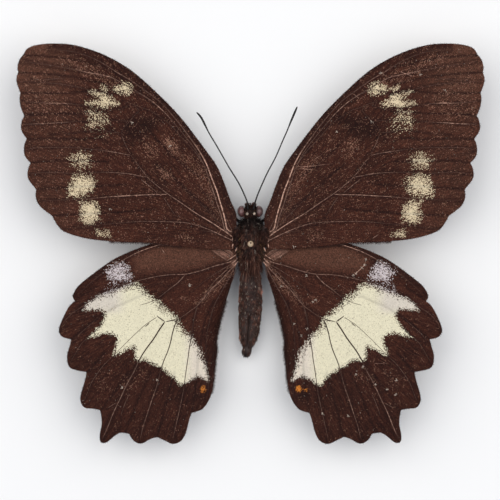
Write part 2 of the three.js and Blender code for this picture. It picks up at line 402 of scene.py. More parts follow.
# %% Veins of the front wing
FRONT_VEINS = {
    "costal": (0.16, (0.8, 1.1, 1.15, 1, 0.5, 0.35, 0.3, 0.35, 0.5, 0.3, 0.2, 0.2), [
        (4.2, 2.7), (5.5, 3.5), (5.9, 5.3), (6.5, 7.7), (7.2, 10), (7.9, 12.4), (8.8, 14.7),
        (9.6, 16.8), (10.4, 18.9), (12, 21.8), (13.9, 24.5), (16.2, 27.6), (19, 31), (21.4, 33.5),
        (24, 35.5), (26.1, 37), (28.4, 38.6), (31.2, 40.2), (34, 42), (36.6, 43.4), (39.4, 44.5),
        (42.2, 45.2), (46.9, 45.6)]),
    "radial": (0.13, (0.5, 0.5, 0.5, 0.35, 0.3, 0.3, 0.7, 0.35, 0.6, 0.75, 0.3, 0.25, 0.2), [
        (4.7, 2.5), (6, 3.4), (6.8, 6.5), (7.8, 9.3), (8.6, 11.9), (9.4, 14.2), (10.2, 16.6),
        (11.1, 18.9), (12.7, 21.8), (14.8, 24.6), (17.2, 27.5), (19.7, 30.4), (22.1, 32.7),
        (24.4, 34.4), (26.8, 35.9), (29.4, 37.3), (32.4, 39), (35.2, 39.7), (38, 40.2),
        (41.3, 40.9), (44.5, 41.5), (48.3, 42.1), (51.5, 42.5), (53.9, 43)]),
    "upper_branch": (0.09, (0.4, 0.3, 0.1, 0.2, 0.3, 0.3, 0.2, 0.2), [
        (24, 34.1), (26.3, 35.4), (29.1, 36.2), (32.4, 35.4), (35.2, 35.7), (38, 36.2), (41, 36.9),
        (44.5, 37.5), (48, 37.8), (51.5, 38), (54.3, 38.1)]),
    "tip_branch": (0.07, (0.1, 0.5, 0.3, 0.6), [(43.3, 38.8), (46.5, 38.7), (49, 38.4),
                                                (51.3, 38.6)]),
    "cell_top": (0.09, (0.4, 0.3, 0.25, 0.2, 0.3, 0.4), [
        (11.1, 18.9), (13.2, 21.8), (16, 24.8), (18.8, 28), (21.9, 30.3), (23.7, 31.4),
        (25.8, 32.1), (28, 33), (30.1, 33.5)]),
    "median_1": (0.08, (0.1, 0, 0, 0.2, 0.9, 0.4, 0.2), [
        (28, 32.9), (30.5, 31.8), (33.3, 31.6), (35.9, 31.9), (38.5, 32.4), (41.5, 32.8),
        (44.5, 33), (47.3, 33), (50.6, 33.2), (53.9, 33.5)]),
    "median_2": (0.08, (0.3, 0, 0, 0.1, 0.7, 0.8, 0.3), [
        (28.4, 28.8), (31.5, 29), (34.7, 29.1), (38.5, 28.9), (42.2, 28.6), (45.5, 28.4),
        (48.3, 28.2), (51.5, 28.1), (53.6, 28)]),
    "median_3": (0.07, (0.3, 0.2, 0, 0, 0), [
        (30.3, 26.1), (32.9, 26.3), (35.7, 26.8), (38.9, 26.4), (42.7, 25.9), (46.9, 25.7)]),
    "cell_end": (0.07, (0, 0.3, 0.1, 0.5, 0.1, 0.2, 0.7, 0.5, 0.5), [
        (28, 32.9), (26.2, 31.4), (27.2, 30.3), (28.4, 28.8), (29.6, 27.4), (30.3, 26.1),
        (29.7, 24.1), (28.9, 22.4), (28, 20.7)]),
    "cubital_1": (0.09, (0.5, 0.6, 0.2, 0.3, 0.3, 0.4, 0.3), [
        (28, 20.8), (30.5, 21.3), (33.6, 21.8), (37.5, 22.3), (41.7, 22.6), (46.9, 22.6),
        (50.6, 22.5), (53.2, 21.9)]),
    "cell_bottom": (0.12, (0.8, 0.85, 0.7, 0.6, 0.5, 0.5, 0.5), [
        (3.5, 1.1), (5.9, 2.9), (9.4, 5.2), (12.9, 7.3), (16.5, 9.8), (19.5, 11.8), (22.3, 14),
        (24.2, 15.7), (26.1, 18.2), (28, 20.7)]),
    "cubital_2": (0.09, (0.5, 0.6, 0.2, 0.3, 0.35, 0.3), [
        (24.2, 15.7), (26.1, 16), (28.7, 16.5), (32.9, 16.8), (37.5, 16.8), (42.2, 16.6),
        (46.9, 16.8), (50.1, 16.6), (52.2, 16.3)]),
    "cubital_3": (0.1, (0.6, 0.8, 0.8, 0.5, 0.3, 0.2, 0.1), [
        (19.5, 11.7), (22.3, 11.6), (25.8, 11.5), (29.4, 11.3), (32.9, 11.1), (36.1, 10.8),
        (39.9, 10.5), (44.5, 10.3), (50.1, 10.1)]),
    "anal": (0.1, (0.8, 0.65, 0.5, 0.5, 0.4, 0.2, 0.1, 0.1), [
        (3.8, 0.6), (7.1, 2.2), (10.8, 3.8), (14.6, 4.9), (18.3, 5.2), (22.3, 5.3), (25.8, 5.3),
        (30.1, 5), (35.2, 4.5), (39.9, 4), (44.8, 3.4)]),
    "root_streak": (0.08, (0.5, 0.4, 0.2), [(5, 1.2), (8, 2.6), (11.8, 3.2)]),
    "root_fan_1": (0.05, (0.5, 0.45, 0.3, 0.15), [(4.2, 2), (7, 6.3), (9.8, 10.6), (12.4, 14)]),
    "root_fan_2": (0.05, (0.5, 0.4, 0.3, 0.1), [(4.2, 1.6), (8.2, 5.9), (12.2, 9.9), (15.8, 13)]),
    "root_fan_3": (0.05, (0.55, 0.45, 0.35, 0.15), [(4, 2.4), (6.2, 7), (7.8, 11.4), (9.2, 14.8)]),
    "rubbed_spur": (0.07, (0.5, 0.8, 0.5), [(25.9, 15.3), (23.5, 13.4), (21.7, 11.9)]),
    "lower_spur": (0.06, (0.4, 0.5, 0.4, 0.2), [(20.7, 11.2), (19.8, 10), (18.8, 8.4),
                                                (17.4, 6.3)]),
}
FRONT_FOLDS = [
    [(35.2, 41.7), (39.9, 43), (44.5, 43.7), (49.2, 44.1), (53.2, 44.2)],
    [(33.3, 37.4), (37.5, 38.4), (42.2, 39.3), (46.9, 39.8), (54.3, 40.2)],
    [(32.4, 35), (35.2, 35.8), (39.9, 35.7), (44.5, 35.3), (49.2, 35.4), (53.9, 35.4)],
    [(33.4, 31), (36.4, 31.1), (39.9, 30.7), (44.5, 30.6), (49.2, 30.5), (52.9, 30.1)],
    [(35.2, 25), (39.9, 24.6), (44.5, 24.7), (49.2, 24.7), (52.2, 24.6)],
    [(33.3, 19.4), (39.9, 19.5), (45.7, 19.6), (51.3, 19.1)],
    [(29.4, 14), (35.2, 13.7), (42.2, 13.4), (49.9, 12.9)],
    [(22.3, 8.3), (30.5, 7.5), (38.7, 7), (46.4, 6.7)],
    [(11.8, 15.9), (15.3, 18.2), (18.8, 21.3), (22.3, 24.8), (24.9, 28.1)],
    [(8.2, 6.9), (12.9, 10.9), (17.6, 15.2), (22.3, 18.9)],
]

# %% Scratches
SCRATCHES = {
    ("front", "right"): {
        "upper": (0.07, (0.6, 0.9, 0.7), [(9.9, 17.6), (12, 17.7), (14.8, 17.5)]),
        "middle": (0.07, (0.6, 0.9, 0.6, 0.4), [(10.3, 18.2), (13.1, 18.2), (16.6, 18.6),
                                                (19.5, 18.9)]),
        "lower": (0.05, (0.5, 0.6, 0.3), [(14.8, 20), (16.2, 20.6), (17.2, 21.5)]),
        "outer_upper": (0.09, (0.5, 0.9, 0.5), [(43.8, 33.05), (45.5, 33.1), (47.1, 33.05)]),
        "outer_lower": (0.09, (0.6, 0.9, 1, 0.6), [(45, 28.5), (47.2, 28.3), (49.6, 28.15),
                                                   (51.8, 28.1)]),
        "tip": (0.09, (0.5, 0.9, 0.6), [(34.9, 40.5), (36.5, 39.9), (38.2, 39.4)]),
        "tip_2": (0.08, (0.5, 0.9, 0.6), [(30.6, 40.4), (31.3, 39.8), (32, 39.2)]),
        "shoulder": (0.08, (0.5, 0.8, 0.6), [(24, 35.4), (24.9, 34.7), (25.7, 34)]),
        "edge": (0.06, (0.5, 0.8, 0.4), [(28.3, 1.1), (29.4, 1.8), (30.3, 2.4)]),
        "mark": (0.05, (0.4, 0.7, 0.4), [(28.7, 8.1), (29.4, 8.6), (30.3, 9)]),
        "mark_2": (0.05, (0.4, 0.6, 0.4), [(28.9, 7.6), (29.8, 8), (30.4, 8.4)]),
    },
    ("back", "right"): {
        "pale": (0.11, (0.8, 1, 0.9, 1, 0.7), [
            (24.2, -7.5), (24.8, -6.9), (26.2, -5.6), (26.8, -4.9), (27.2, -3.6)]),
        "row": (0.06, (0.4, 0.8, 0.5, 0.4), [(28.9, -28.1), (30.6, -28.1), (32.6, -28)]),
    },
    ("back", "left"): {"grey": (0.09, (0.5, 0.8, 0.5), [(20, -2.7), (20.6, -1.6), (21.2, -0.8)])},
}

# %% Veins of the back wing
BACK_VEINS = {
    "costal": (0.12, (0.2, 0.4, 0.7, 0.9, 0.7, 0.4, 0.2, 0.1), [
        (4.2, -2.9), (8.3, -0.6), (13, 0.8), (17.7, 0.7), (21.2, -0.1), (23.5, -0.8), (25.9, -1.7),
        (28.2, -2.8), (31.5, -4.7), (34.8, -6.9), (37.8, -9.3), (40.9, -12.3)]),
    "radial": (0.12, (0.6, 0.5, 0.5, 0.5, 0.5, 0.3, 0.1, 0.2, 0.35, 0.3), [
        (3.8, -3.7), (5.4, -4.4), (8.5, -5.2), (11.8, -6.3), (15.3, -7.1), (18.8, -7.2),
        (22.4, -7.7), (25.9, -8.5), (28.7, -9.2), (31.7, -10.1), (34.3, -11.2), (37.1, -13),
        (39.5, -14.7), (41.8, -16.2), (43.9, -18.4), (44.7, -20.3)]),
    "humeral": (0.12, (0.5, 0.65, 0.4), [(5.4, -3.9), (7.3, -2.7), (9.2, -1.4)]),
    "shoulder": (0.13, (0.6, 0.7, 0.6, 0.3), [(4.1, -2.4), (4.9, -1.6), (6.5, -1.3), (9, -1.4)]),
    "cell_top": (0.11, (0.5, 0.6, 0.5, 0.3, 0, 0), [
        (15.3, -7.1), (17, -9), (19.1, -10.6), (20.7, -11.9), (21.9, -12.8), (24, -13.8),
        (26.4, -14.5)]),
    "cell_branch": (0.08, (0, 0), [(22.5, -13.4), (23.8, -14.5)]),
    "outer_branch": (0.07, (0, 0.3, 0.4, 0.2), [(35.6, -17), (38, -19.2), (40.2, -21.2),
                                                (41.6, -23)]),
    "cell_end_low": (0.17, (0, 0, 0), [(17.2, -17.7), (18.6, -18), (20.1, -18.3)]),
    "cell_end_mid": (0.17, (0, 0), [(20.1, -18.3), (21, -17.7), (21.8, -17.1), (22.1, -16.7)]),
    "cell_end_top": (0.1, (0, 0, 0), [(21.2, -14), (21.6, -15), (22, -16)]),
    "median_1": (0.07, (0, 0.3, 0.4, 0.2), [
        (35.6, -19.6), (37.8, -21.6), (39.7, -23.4), (41.3, -26), (42.5, -28.1)]),
    "median_2": (0.07, (0, 0, 0, 0, 0.4, 0.5, 0.4, 0.2), [
        (21.9, -17.1), (24, -18.5), (25.2, -19.4), (28, -22), (30.6, -24.6), (32.2, -26.3),
        (34.1, -28), (35.7, -30), (37.4, -32.6), (38.5, -35.4), (39.6, -37.7)]),
    "median_3": (0.17, (0, 0, 0, 0.4, 0.5, 0.45, 0.6, 0.4), [
        (20.1, -18.2), (21.4, -20.1), (22.8, -22.3), (24.5, -24.6), (25.9, -26.8), (27.3, -29.8),
        (28.5, -31.9), (29.6, -34.1), (30.6, -36.3), (32.2, -39.6), (33.6, -43.1), (34.9, -46)]),
    "cubital_stem": (0.13, (0.5, 0.55, 0.55, 0.5, 0.4, 0.3), [
        (3.3, -4.4), (4.7, -6), (7.1, -8.6), (9.4, -10.8), (11.1, -12.8), (12.5, -14.5),
        (14.1, -15.7), (15.8, -16.9), (17.2, -17.7)]),
    "cubital_1": (0.13, (0, 0, 0, 0.3, 0.6, 0.5, 0.4), [
        (17.2, -17.7), (17.9, -19.4), (18.4, -21.1), (18.8, -23), (19.5, -25.3), (20.5, -27.7),
        (21.2, -30), (22.1, -33.5), (23.2, -36.6), (24.2, -39.7), (25.2, -42.7), (26, -46)]),
    "cubital_2": (0.12, (0.3, 0.1, 0, 0, 0.1, 0.4, 0.4, 0.3), [
        (12.5, -14.5), (13.3, -17.6), (13.9, -21.6), (14.4, -24.4), (14.7, -26.7), (15.1, -29.3),
        (15.5, -32.2), (15.9, -35), (16.5, -38), (17.3, -41.6), (18.4, -46.3)]),
    "anal_1": (0.09, (0.35, 0.3, 0.2, 0.1, 0.1, 0.1), [
        (3.5, -5.1), (5.2, -8.4), (7.1, -11.7), (8.5, -14.3), (9.4, -17.3), (10.1, -20.2),
        (10.5, -23.9), (10.4, -27.9), (9.9, -33.4), (10.6, -37.8)]),
    "anal_2": (0.08, (0.4, 0.3, 0.1, 0.1, 0), [
        (3.3, -5.5), (4.2, -8.4), (5.7, -11.9), (7.1, -16.4), (8, -20.4), (8.6, -24.2),
        (8.8, -28.6), (9.1, -32.2)]),
    "root_streak": (0.07, (0.4, 0.5, 0.45, 0.4, 0.3), [
        (4.2, -4.8), (6.4, -6.8), (8.3, -8.6), (10.3, -11.2), (11.8, -13.3), (13, -14.7)]),
    "root_fan_1": (0.05, (0.5, 0.5, 0.3, 0.15), [(3.8, -4.4), (7.4, -6.4), (11, -8.9),
                                                 (14.4, -11.6)]),
    "root_fan_2": (0.05, (0.5, 0.4, 0.3, 0.15), [(3.6, -5.2), (5.8, -9.2), (7.8, -13), (9.6, -17)]),
    "light_line": (0.06, (0.4, 0.5, 0.3), [(28.4, -35.1), (29.4, -37.2), (30.1, -39.1),
                                           (30.6, -40.8)]),
    "rubbed_line": (0.06, (0.4, 0.6, 0.3), [(31.4, -37.2), (32.8, -38.1), (34, -38.7)]),
    "stray_dash": (0.13, (0, 0), [(23.7, -18.5), (24.9, -19.6)]),
}
BACK_FOLDS = [
    [(36.4, -9.8), (38.8, -11.6), (41.1, -13.3)],
    [(24.7, -11.7), (29.4, -13.8), (32, -14.8), (35.3, -17), (38.1, -18.9), (42, -22.3)],
    [(34.3, -25.5), (36.2, -27.6), (38.3, -30)],
    [(28.7, -30.2), (31.5, -34), (35, -39.1)],
    [(23.5, -30.2), (26.4, -36.4), (29.4, -44.3)],
    [(17.9, -30.3), (19.8, -36.9), (21.9, -45.3)],
    [(12.3, -25.1), (12.7, -32.2), (13.8, -39.5)],
    [(8.7, -13.3), (10.8, -18), (11.8, -23.9)],
]
print("veins:", len(FRONT_VEINS), "front,", len(BACK_VEINS), "back")

# %% [markdown]
# ## The markings
# The cream marks are areas of pale scales. Each is an outline with a density, from a thin dusting
# to nearly solid, and a softness, the width in millimetres over which it breaks up into single
# scales at its edge. They are drawn as a dozen short outlines, so they stay sharp at any
# size, which an image wouldn't.

# %% Outlines of the markings
FRONT_MARKS = [
    (0.88, 1.7, [(27.5, 36.1), (28, 37.2), (29.1, 37.9), (30.3, 38), (30.5, 37.2), (31.9, 37),
                 (32.2, 36.3), (31.5, 35.6), (30.5, 35.3), (29.4, 34.9), (28.2, 34.9)]),
    (0.78, 1.4, [(32.9, 36), (33.6, 36.7), (34.5, 37.4), (35.2, 37.4), (35, 36.5), (34.3, 35.8),
                 (33.3, 35.6)]),
    (0.94, 1.9, [(31, 32.3), (31, 33.2), (32.4, 33.9), (33.1, 34.9), (34.3, 35.3), (35.9, 35.7),
                 (38, 35.9), (37.1, 35.1), (35.7, 34.1), (37.1, 33.6), (38.5, 33.4), (38.9, 33),
                 (37.8, 32.5), (36.1, 32.3), (34.7, 31.8), (33.1, 32.3)]),
    (0.6, 2.0, [(34.2, 30.2), (35.7, 31), (37.3, 31.2), (38.7, 31), (37.3, 30.3), (36.9, 29.4),
                (38.4, 28.2), (37.8, 27.5), (36.2, 27.9), (35.2, 29)]),
    (0.34, 2.6, [(33, 28.6), (33.6, 31), (37.9, 31.2), (38.8, 28.5), (37.6, 26.6), (34.8, 26.8)]),
    (0.12, 3.0, [(31.5, 28.1), (32.5, 30.5), (38.5, 31), (39.5, 27.5), (38.9, 25.2), (35.2, 24.3),
                 (32, 25.5)]),
    (0.54, 2.5, [(37.1, 20.1), (38, 21.2), (39.9, 21.7), (41.7, 20.8), (43.1, 20), (42.2, 19.3),
                 (41.7, 18.2), (39.9, 17.5), (37.8, 17.7)]),
    (0.88, 2.4, [(36.4, 14.9), (37.5, 15.8), (39.4, 16.3), (41.3, 16.1), (42, 14.9), (42.7, 13.7),
                 (42.7, 11.1), (40.8, 11.1), (38.7, 11.4), (37.1, 12.3)]),
    (0.93, 2.1, [(35.7, 8.8), (36.4, 9.7), (38, 10), (39.9, 10), (39.6, 8.6), (40.1, 7.2),
                 (39.9, 5.5), (38.7, 4.8), (36.8, 4.8), (35.7, 5.7)]),
    (0.66, 1.6, [(32.9, 1.8), (33.3, 2.9), (34.7, 3.2), (36.4, 3.4), (36.8, 2.7), (36.1, 1.8),
                 (34.5, 1.5)]),
]
BACK_BAND = [
    (26.4, -8.8), (24.9, -10.1), (23.3, -11.8), (21.9, -12.6), (21.1, -13.5), (20, -14.7),
    (18.6, -15.7), (17.4, -16.6), (16.7, -17.8), (16.3, -19.2), (15.1, -20.4), (13.9, -21.3),
    (13.2, -22.5), (11.8, -24.2), (11.2, -25.3), (10.7, -27.5), (10.3, -29.8), (9.8, -31.7),
    (9.9, -32.4), (10.8, -31.9), (11.5, -31.5), (12.5, -31.3), (13.4, -31.9), (14.4, -32.3),
    (15.5, -33.1), (16.5, -33.4), (17.2, -32.6), (17.9, -31.7), (19.1, -30.7), (20.2, -30.1),
    (20.7, -29.3), (21.4, -29.2), (22.6, -28.4), (23.8, -27.8), (24.9, -27.2), (26.1, -27.6),
    (27.1, -27.2), (27.3, -25.5), (27.3, -24.1), (28.2, -24.5), (29.6, -25.1), (31, -25.9),
    (32.2, -26.3), (32, -25), (31.7, -23.9), (31.3, -22.5), (31.5, -21.8), (32.5, -21.3),
    (33.9, -21), (35.3, -21.3), (36.4, -21.6), (38.5, -22.4), (36.9, -20.6), (35.5, -19.4),
    (34.6, -17.7), (34.3, -16.3), (35, -15.4), (36.2, -15.5), (37.6, -15.6), (39.5, -15.7),
    (38.5, -14), (37.1, -13), (35.3, -11.9), (33.9, -11.1), (31.7, -10.1), (29.4, -9.4),
    (27.8, -8.9)]
LILAC_PATCH = [
    (28.2, -8.7), (27.8, -7.6), (28.5, -6.2), (28.9, -4.8), (30.3, -4.1), (31.5, -4.4),
    (32.9, -5.1), (34.3, -6.5), (33.4, -7.6), (33.2, -8.8), (33.6, -9.8), (34.3, -10.9),
    (32.9, -10.5), (30.6, -9.6)]
BACK_MARKS = [(1.12, 1.2, BACK_BAND), (0.76, 2.0, LILAC_PATCH)]

# %% [markdown]
# ## Distances
# A marking, a vein and a fold all act by how near a point of the wing lies to them. These helpers
# answer that for a whole wing at once, with numpy, instead of one vertex at a time.

# %% Distance helpers
FAR = 1e9
TINY = 1e-9


def distance_to(line, x, y):
    """Distance in mm from each point to a line of points."""
    nearest = np.full(x.shape, FAR)
    for (ax, ay), (bx, by) in zip(line, line[1:]):
        dx, dy = bx - ax, by - ay
        t = np.clip(((x - ax) * dx + (y - ay) * dy) / (dx * dx + dy * dy + TINY), 0, 1)
        nearest = np.minimum(nearest, np.hypot(x - ax - t * dx, y - ay - t * dy))
    return nearest


def depth_in(shape, x, y):
    """Distance to the outline of a shape: above 0 inside it and below 0 outside."""
    inside = np.zeros(x.shape, bool)
    closed = list(shape) + [shape[0]]
    for (ax, ay), (bx, by) in zip(closed, closed[1:]):
        crossing = ax + (y - ay) * (bx - ax) / (by - ay if by != ay else TINY)
        inside ^= ((ay > y) != (by > y)) & (x < crossing)
    return distance_to(closed, x, y) * np.where(inside, 1, -1)


# %% Bells and cover
def bell(value, width, centre=0.0):
    """1 at the centre, fading to 0 over about the width."""
    return np.exp(-(((value - centre) / width) ** 2))


EDGE_OUTSIDE, EDGE_INSIDE = 0.55, 0.9


def coverage(marks, x, y):
    """How much of the wing the pale scales cover: the densest mark wins."""
    cover = np.zeros(x.shape)
    for density, softness, shape in marks:
        inside = blend_in(-softness * EDGE_OUTSIDE, softness * EDGE_INSIDE, depth_in(shape, x, y))
        cover = np.maximum(cover, density * inside)
    return cover


BAND_TIP = (13, -30)
TO_THE_ROOT = (-0.57, 0.82)


def rootward_dust(x, y):
    """How thin the cream band is: its side towards the root breaks up over a wide dusty edge."""
    nearer = (x - BAND_TIP[0]) * TO_THE_ROOT[0] + (y - BAND_TIP[1]) * TO_THE_ROOT[1]
    rootward = blend_in(0, 4, nearer)
    edge = 1 - blend_in(0.2, 2.6, depth_in(BACK_BAND, x, y))
    return 0.55 * rootward * edge * blend_in(8.2, 8.8, -y)


# %% [markdown]
# ## The wing's relief
# A dried wing isn't flat. It rises outwards, its veins stand up as ribs, the membrane sinks between
# them, and the back wing's inner edge curls down beside the body. One height function gives all of
# this, so that the membrane and the vein tubes laid on it always agree.

# %% Height of a wing
DIHEDRAL = math.radians(3)
WING_ROOT_X = 3.3
WING_MID_Z = {"front": 8.65, "back": 7.85}
WING_VEINS = {"front": FRONT_VEINS, "back": BACK_VEINS}
WING_FOLDS = {"front": FRONT_FOLDS, "back": BACK_FOLDS}
WING_MARKS = {"front": FRONT_MARKS, "back": BACK_MARKS}
INNER_EDGE = [(3.3, -4.6), (4.2, -8.1), (5.8, -13.3), (7.1, -18), (8.1, -22.8), (8, -25.1),
              (8.4, -28.6), (8.7, -32.2)]
CURL, CURL_WIDTH = 2.4, 3.0
RIB, RIB_WIDTH = 0.09, 0.8
SINK, SINK_WIDTH = 0.13, 0.9
STRONG_VEIN, FULL_VEIN = 0.08, 0.13
WAVE = 0.1


def wing_height(pair, x, y):
    """Height in mm of the middle of the membrane, for x measured outwards."""
    height = WING_MID_Z[pair] + (x - WING_ROOT_X) * math.tan(DIHEDRAL)
    ribs = np.zeros(x.shape)
    for width, _, line in WING_VEINS[pair].values():
        if width >= STRONG_VEIN:
            ribs = np.maximum(ribs, bell(distance_to(line, x, y), RIB_WIDTH) * width / FULL_VEIN)
    sinks = np.zeros(x.shape)
    for line in WING_FOLDS[pair]:
        sinks = np.maximum(sinks, bell(distance_to(line, x, y), SINK_WIDTH))
    wave = WAVE * np.sin(x * 0.21 + 0.6) * np.cos(y * 0.17)
    height = height + RIB * ribs - SINK * sinks + wave * blend_in(4, 14, x)
    if pair == "back":
        curled = 1 - np.minimum(distance_to(INNER_EDGE, x, y) / CURL_WIDTH, 1)
        height = height - CURL * curled**2 * blend_in(6, 12, -y) * (1 - blend_in(26, 33, -y))
    return height


# %% [markdown]
# ## Cutting the membrane
# The wing's outline already exists: it is the top face of the CAD blade. A copy of that face is
# flattened, its corners between straight steps are rounded, and it is cut by planes into a fine
# grid, as one would cut a leaf of paper. The grid gives the relief and the markings enough points
# to live on.

# %% Cut a wing sheet
GRID = 0.34
MERGE = 0.001
UPWARD = 0.9
ROUNDING = 4
NOTCH_ANGLE = math.radians(28)


def turn_at(vertex):
    """How sharply the outline turns at one of its corners."""
    before, after = (e.other_vert(vertex).co - vertex.co for e in vertex.link_edges)
    return math.pi - before.angle(after)


def wing_outline(node):
    """The top face of a CAD wing, flat and in mm, with a rounded outline and sharp notches."""
    bm = bmesh.new()
    bm.from_mesh(NODES[node].data)
    bmesh.ops.scale(bm, vec=Vector((1 / MM,) * 3), verts=bm.verts)
    bmesh.ops.remove_doubles(bm, verts=bm.verts, dist=MERGE)
    bm.normal_update()
    bmesh.ops.delete(bm, geom=[f for f in bm.faces if f.normal.z < UPWARD], context="FACES")
    bmesh.ops.dissolve_faces(bm, faces=bm.faces[:])
    sheet = max(bm.faces, key=lambda f: f.calc_area())
    bmesh.ops.delete(bm, geom=[f for f in bm.faces if f is not sheet], context="FACES")
    for v in bm.verts:
        v.co.z = 0
    notches = {v for v in bm.verts if turn_at(v) > NOTCH_ANGLE}
    bmesh.ops.subdivide_edges(bm, edges=bm.edges[:], cuts=2)
    free = [v for v in bm.verts if v not in notches]
    for _ in range(ROUNDING):
        bmesh.ops.smooth_vert(bm, verts=free, factor=0.5, use_axis_x=True, use_axis_y=True)
    return bm


def cut_to_grid(bm, step):
    """Cuts the sheet along X and Y at every step."""
    for axis in (0, 1):
        reach = [v.co[axis] for v in bm.verts]
        normal = Vector((1 - axis, axis, 0))
        for at in np.arange(min(reach) + step, max(reach), step):
            geom = bm.verts[:] + bm.edges[:] + bm.faces[:]
            bmesh.ops.bisect_plane(bm, geom=geom, dist=MERGE, plane_co=normal * at, plane_no=normal)


# %% [markdown]
# ## Painting by attribute
# Each point of a wing gets a few numbers: how densely pale scales cover it and in what tint, how
# much paler or darker the brown ground is there, how rubbed it is, and where it lies seen from the
# root. The material reads these and breaks them into single scales. Worn areas are listed like the
# marks: strength, softness, outline.

# %% Colours of the wing
CREAM = linear(228, 208, 172)
GREEN_CREAM = linear(235, 226, 196)
PINK_CREAM = linear(222, 211, 196)
WHITE_CREAM = linear(228, 215, 198)
LILAC = linear(212, 200, 200)
ORANGE = linear(206, 124, 48)
COSTA = {
    "front": [(3.3, 5.1), (3.4, 7.2), (4.7, 10.2), (6.4, 14.9), (8, 18.5), (10.5, 22), (14, 26.7),
              (17.9, 31.4), (23.5, 36.9), (28.2, 40.9), (32.9, 43.7), (37.5, 45.6), (42.2, 46.8),
              (46.9, 47)],
    "back": [(23.5, 0), (25.9, -0.8), (29.4, -2.2), (32.9, -4), (37.6, -7.4), (40.6, -9.9),
             (41.8, -12)],
}
VELVET = [(20, 30), (24, 30.5), (28, 30), (30.5, 28), (29.5, 25), (26, 24), (22, 27)]
RUBS = {
    "front": [(0.4, 1.5, [(21.4, 22), (22.3, 24.1), (24.2, 25), (25.8, 24.3), (25.8, 22.2),
                          (24.2, 20.1), (22.1, 19.9)]),
              (0.4, 1.5, [(7.5, 5), (12, 14), (17, 20), (15, 22), (11, 18), (8.6, 12)]),
              (0.17, 2.0, [(15, 20), (16, 24), (19, 27), (22, 24), (20, 20)]),
              (0.5, 1.0, [(13.5, 1), (16, 0.9), (17.5, 1.6), (16, 2.4), (13.7, 2)]),
              (0.42, 1.8, [(27, 35), (33, 40), (41, 44), (46, 43.5), (38, 39), (30, 36)]),
              (0.24, 2.5, [(44, 36), (50, 40), (53, 38), (53, 30), (46, 28), (42, 31)])],
    "back": [(0.45, 1.2, [(4, -5), (9, -9.5), (13, -14), (11, -14), (7, -10.5), (4, -7)]),
             (0.16, 1.5, [(24, -28.5), (27, -30), (30, -33), (29, -36), (25, -32)]),
             (0.12, 2.0, [(31, -28), (36, -32), (36, -36), (31, -33)]),
             (0.35, 1.0, [(14, -12.5), (16, -12.5), (16, -14), (14, -14)])],
}
OWN_RUBS = {
    ("front", "left"): [
        (0.95, 0.6, [(20.6, 24.9), (19.4, 25), (17.8, 24), (17, 22.5), (17, 21), (18, 20.9),
                     (19.2, 22.3), (20.6, 23.9)]),
        (0.9, 0.5, [(22.6, 18.9), (20.5, 17.6), (18.4, 16.6), (18.3, 15.8), (19.6, 15.9),
                    (20.8, 15), (21.2, 15.4), (20.4, 16.4), (21.8, 17.8)]),
    ],
}
PALE_COSTA = [(7, -1.5), (12, 0.8), (18, 1.2), (24, -0.8), (28, -3), (27, -6.5), (20, -6.4),
              (12, -5.4), (7, -4)]
SHOULDER = [(3.4, -3), (4.2, -1.6), (5.4, -1.2), (8.9, -1.4), (7.8, -2.4), (5.9, -3.8), (4.3, -3.3)]
BACK_ROOT = [(2.6, -3.4), (4, -3.6), (5, -4.6), (4, -5.6), (3, -5.2)]
DUSK_SPOTS = [(11.5, -36.1), (13.1, -35.9)]
ANAL_FIELD = [(3.5, -6), (5, -12), (7, -18), (8, -25), (9, -33), (9.6, -33), (9.8, -26), (9.2, -19),
              (7.4, -12.5), (4.5, -7)]
ORANGE_SPOTS = {
    "right": [(11.35, -34.1, 0.62, 1.0), (13.0, -34.2, 0.5, 0.6)],
    "left": [(11.2, -34.2, 0.6, 0.8)],
}


def tint_of(pair, x, y):
    """The colour of the pale scales at each point."""
    if pair == "front":
        return np.tile(CREAM, (len(x), 1))
    tint = np.tile(GREEN_CREAM, (len(x), 1))
    for colour, amount in (
        (PINK_CREAM, blend_in(28.5, 32.5, x) * blend_in(-17.5, -14.5, y)),
        (WHITE_CREAM, 1 - blend_in(13, 16.5, x)),
        (LILAC, blend_in(-1.6, 0.2, depth_in(LILAC_PATCH, x, y))),
    ):
        tint += (np.array(colour) - tint) * amount[:, None]
    return tint


def orange_of(pair, side, x, y):
    """How strongly the orange spots glow at each point; only the back wings have them."""
    glow = np.zeros(x.shape)
    for cx, cy, radius, strength in ORANGE_SPOTS[side] if pair == "back" else ():
        spread = np.hypot(x - cx, (y - cy) * 0.8) / radius
        glow = np.maximum(glow, strength * (1 - blend_in(0.5, 1.5, spread)))
    return glow


def ground_of(pair, x, y):
    """How much paler (above 0) or darker (below 0) the brown ground is."""
    rim = distance_to(COSTA[pair], x, y)
    if pair == "front":
        width = 0.75 + 0.8 * (1 - blend_in(12, 26, y))
        paler = -0.75 * (1 - blend_in(width * 0.6, width * 1.2, rim))
        paler -= 0.8 * blend_in(-1.5, 1.5, depth_in(VELVET, x, y))
        paler += 0.16 * blend_in(32, 46, x) + 0.28 * blend_in(30, 39, y) * blend_in(38, 48, x)
        return paler + 0.15 * (1 - blend_in(4, 14, x))
    paler = 0.5 * blend_in(-1.5, 2.0, depth_in(PALE_COSTA, x, y))
    paler -= 0.25 * blend_in(-0.8, 0.8, depth_in(ANAL_FIELD, x, y))
    paler -= 0.55 * (1 - blend_in(0.5, 1.1, rim))
    paler += (1.65 * blend_in(-1.0, 1.0, depth_in(SHOULDER, x, y))
              + 1.6 * blend_in(-0.5, 0.5, depth_in(BACK_ROOT, x, y)))
    dusk = sum(np.exp(-(((x - cx) ** 2 + (y - cy) ** 2) / 0.9)) for cx, cy in DUSK_SPOTS)
    return paler - 0.3 * blend_in(20, 30, -y) - 0.5 * dusk


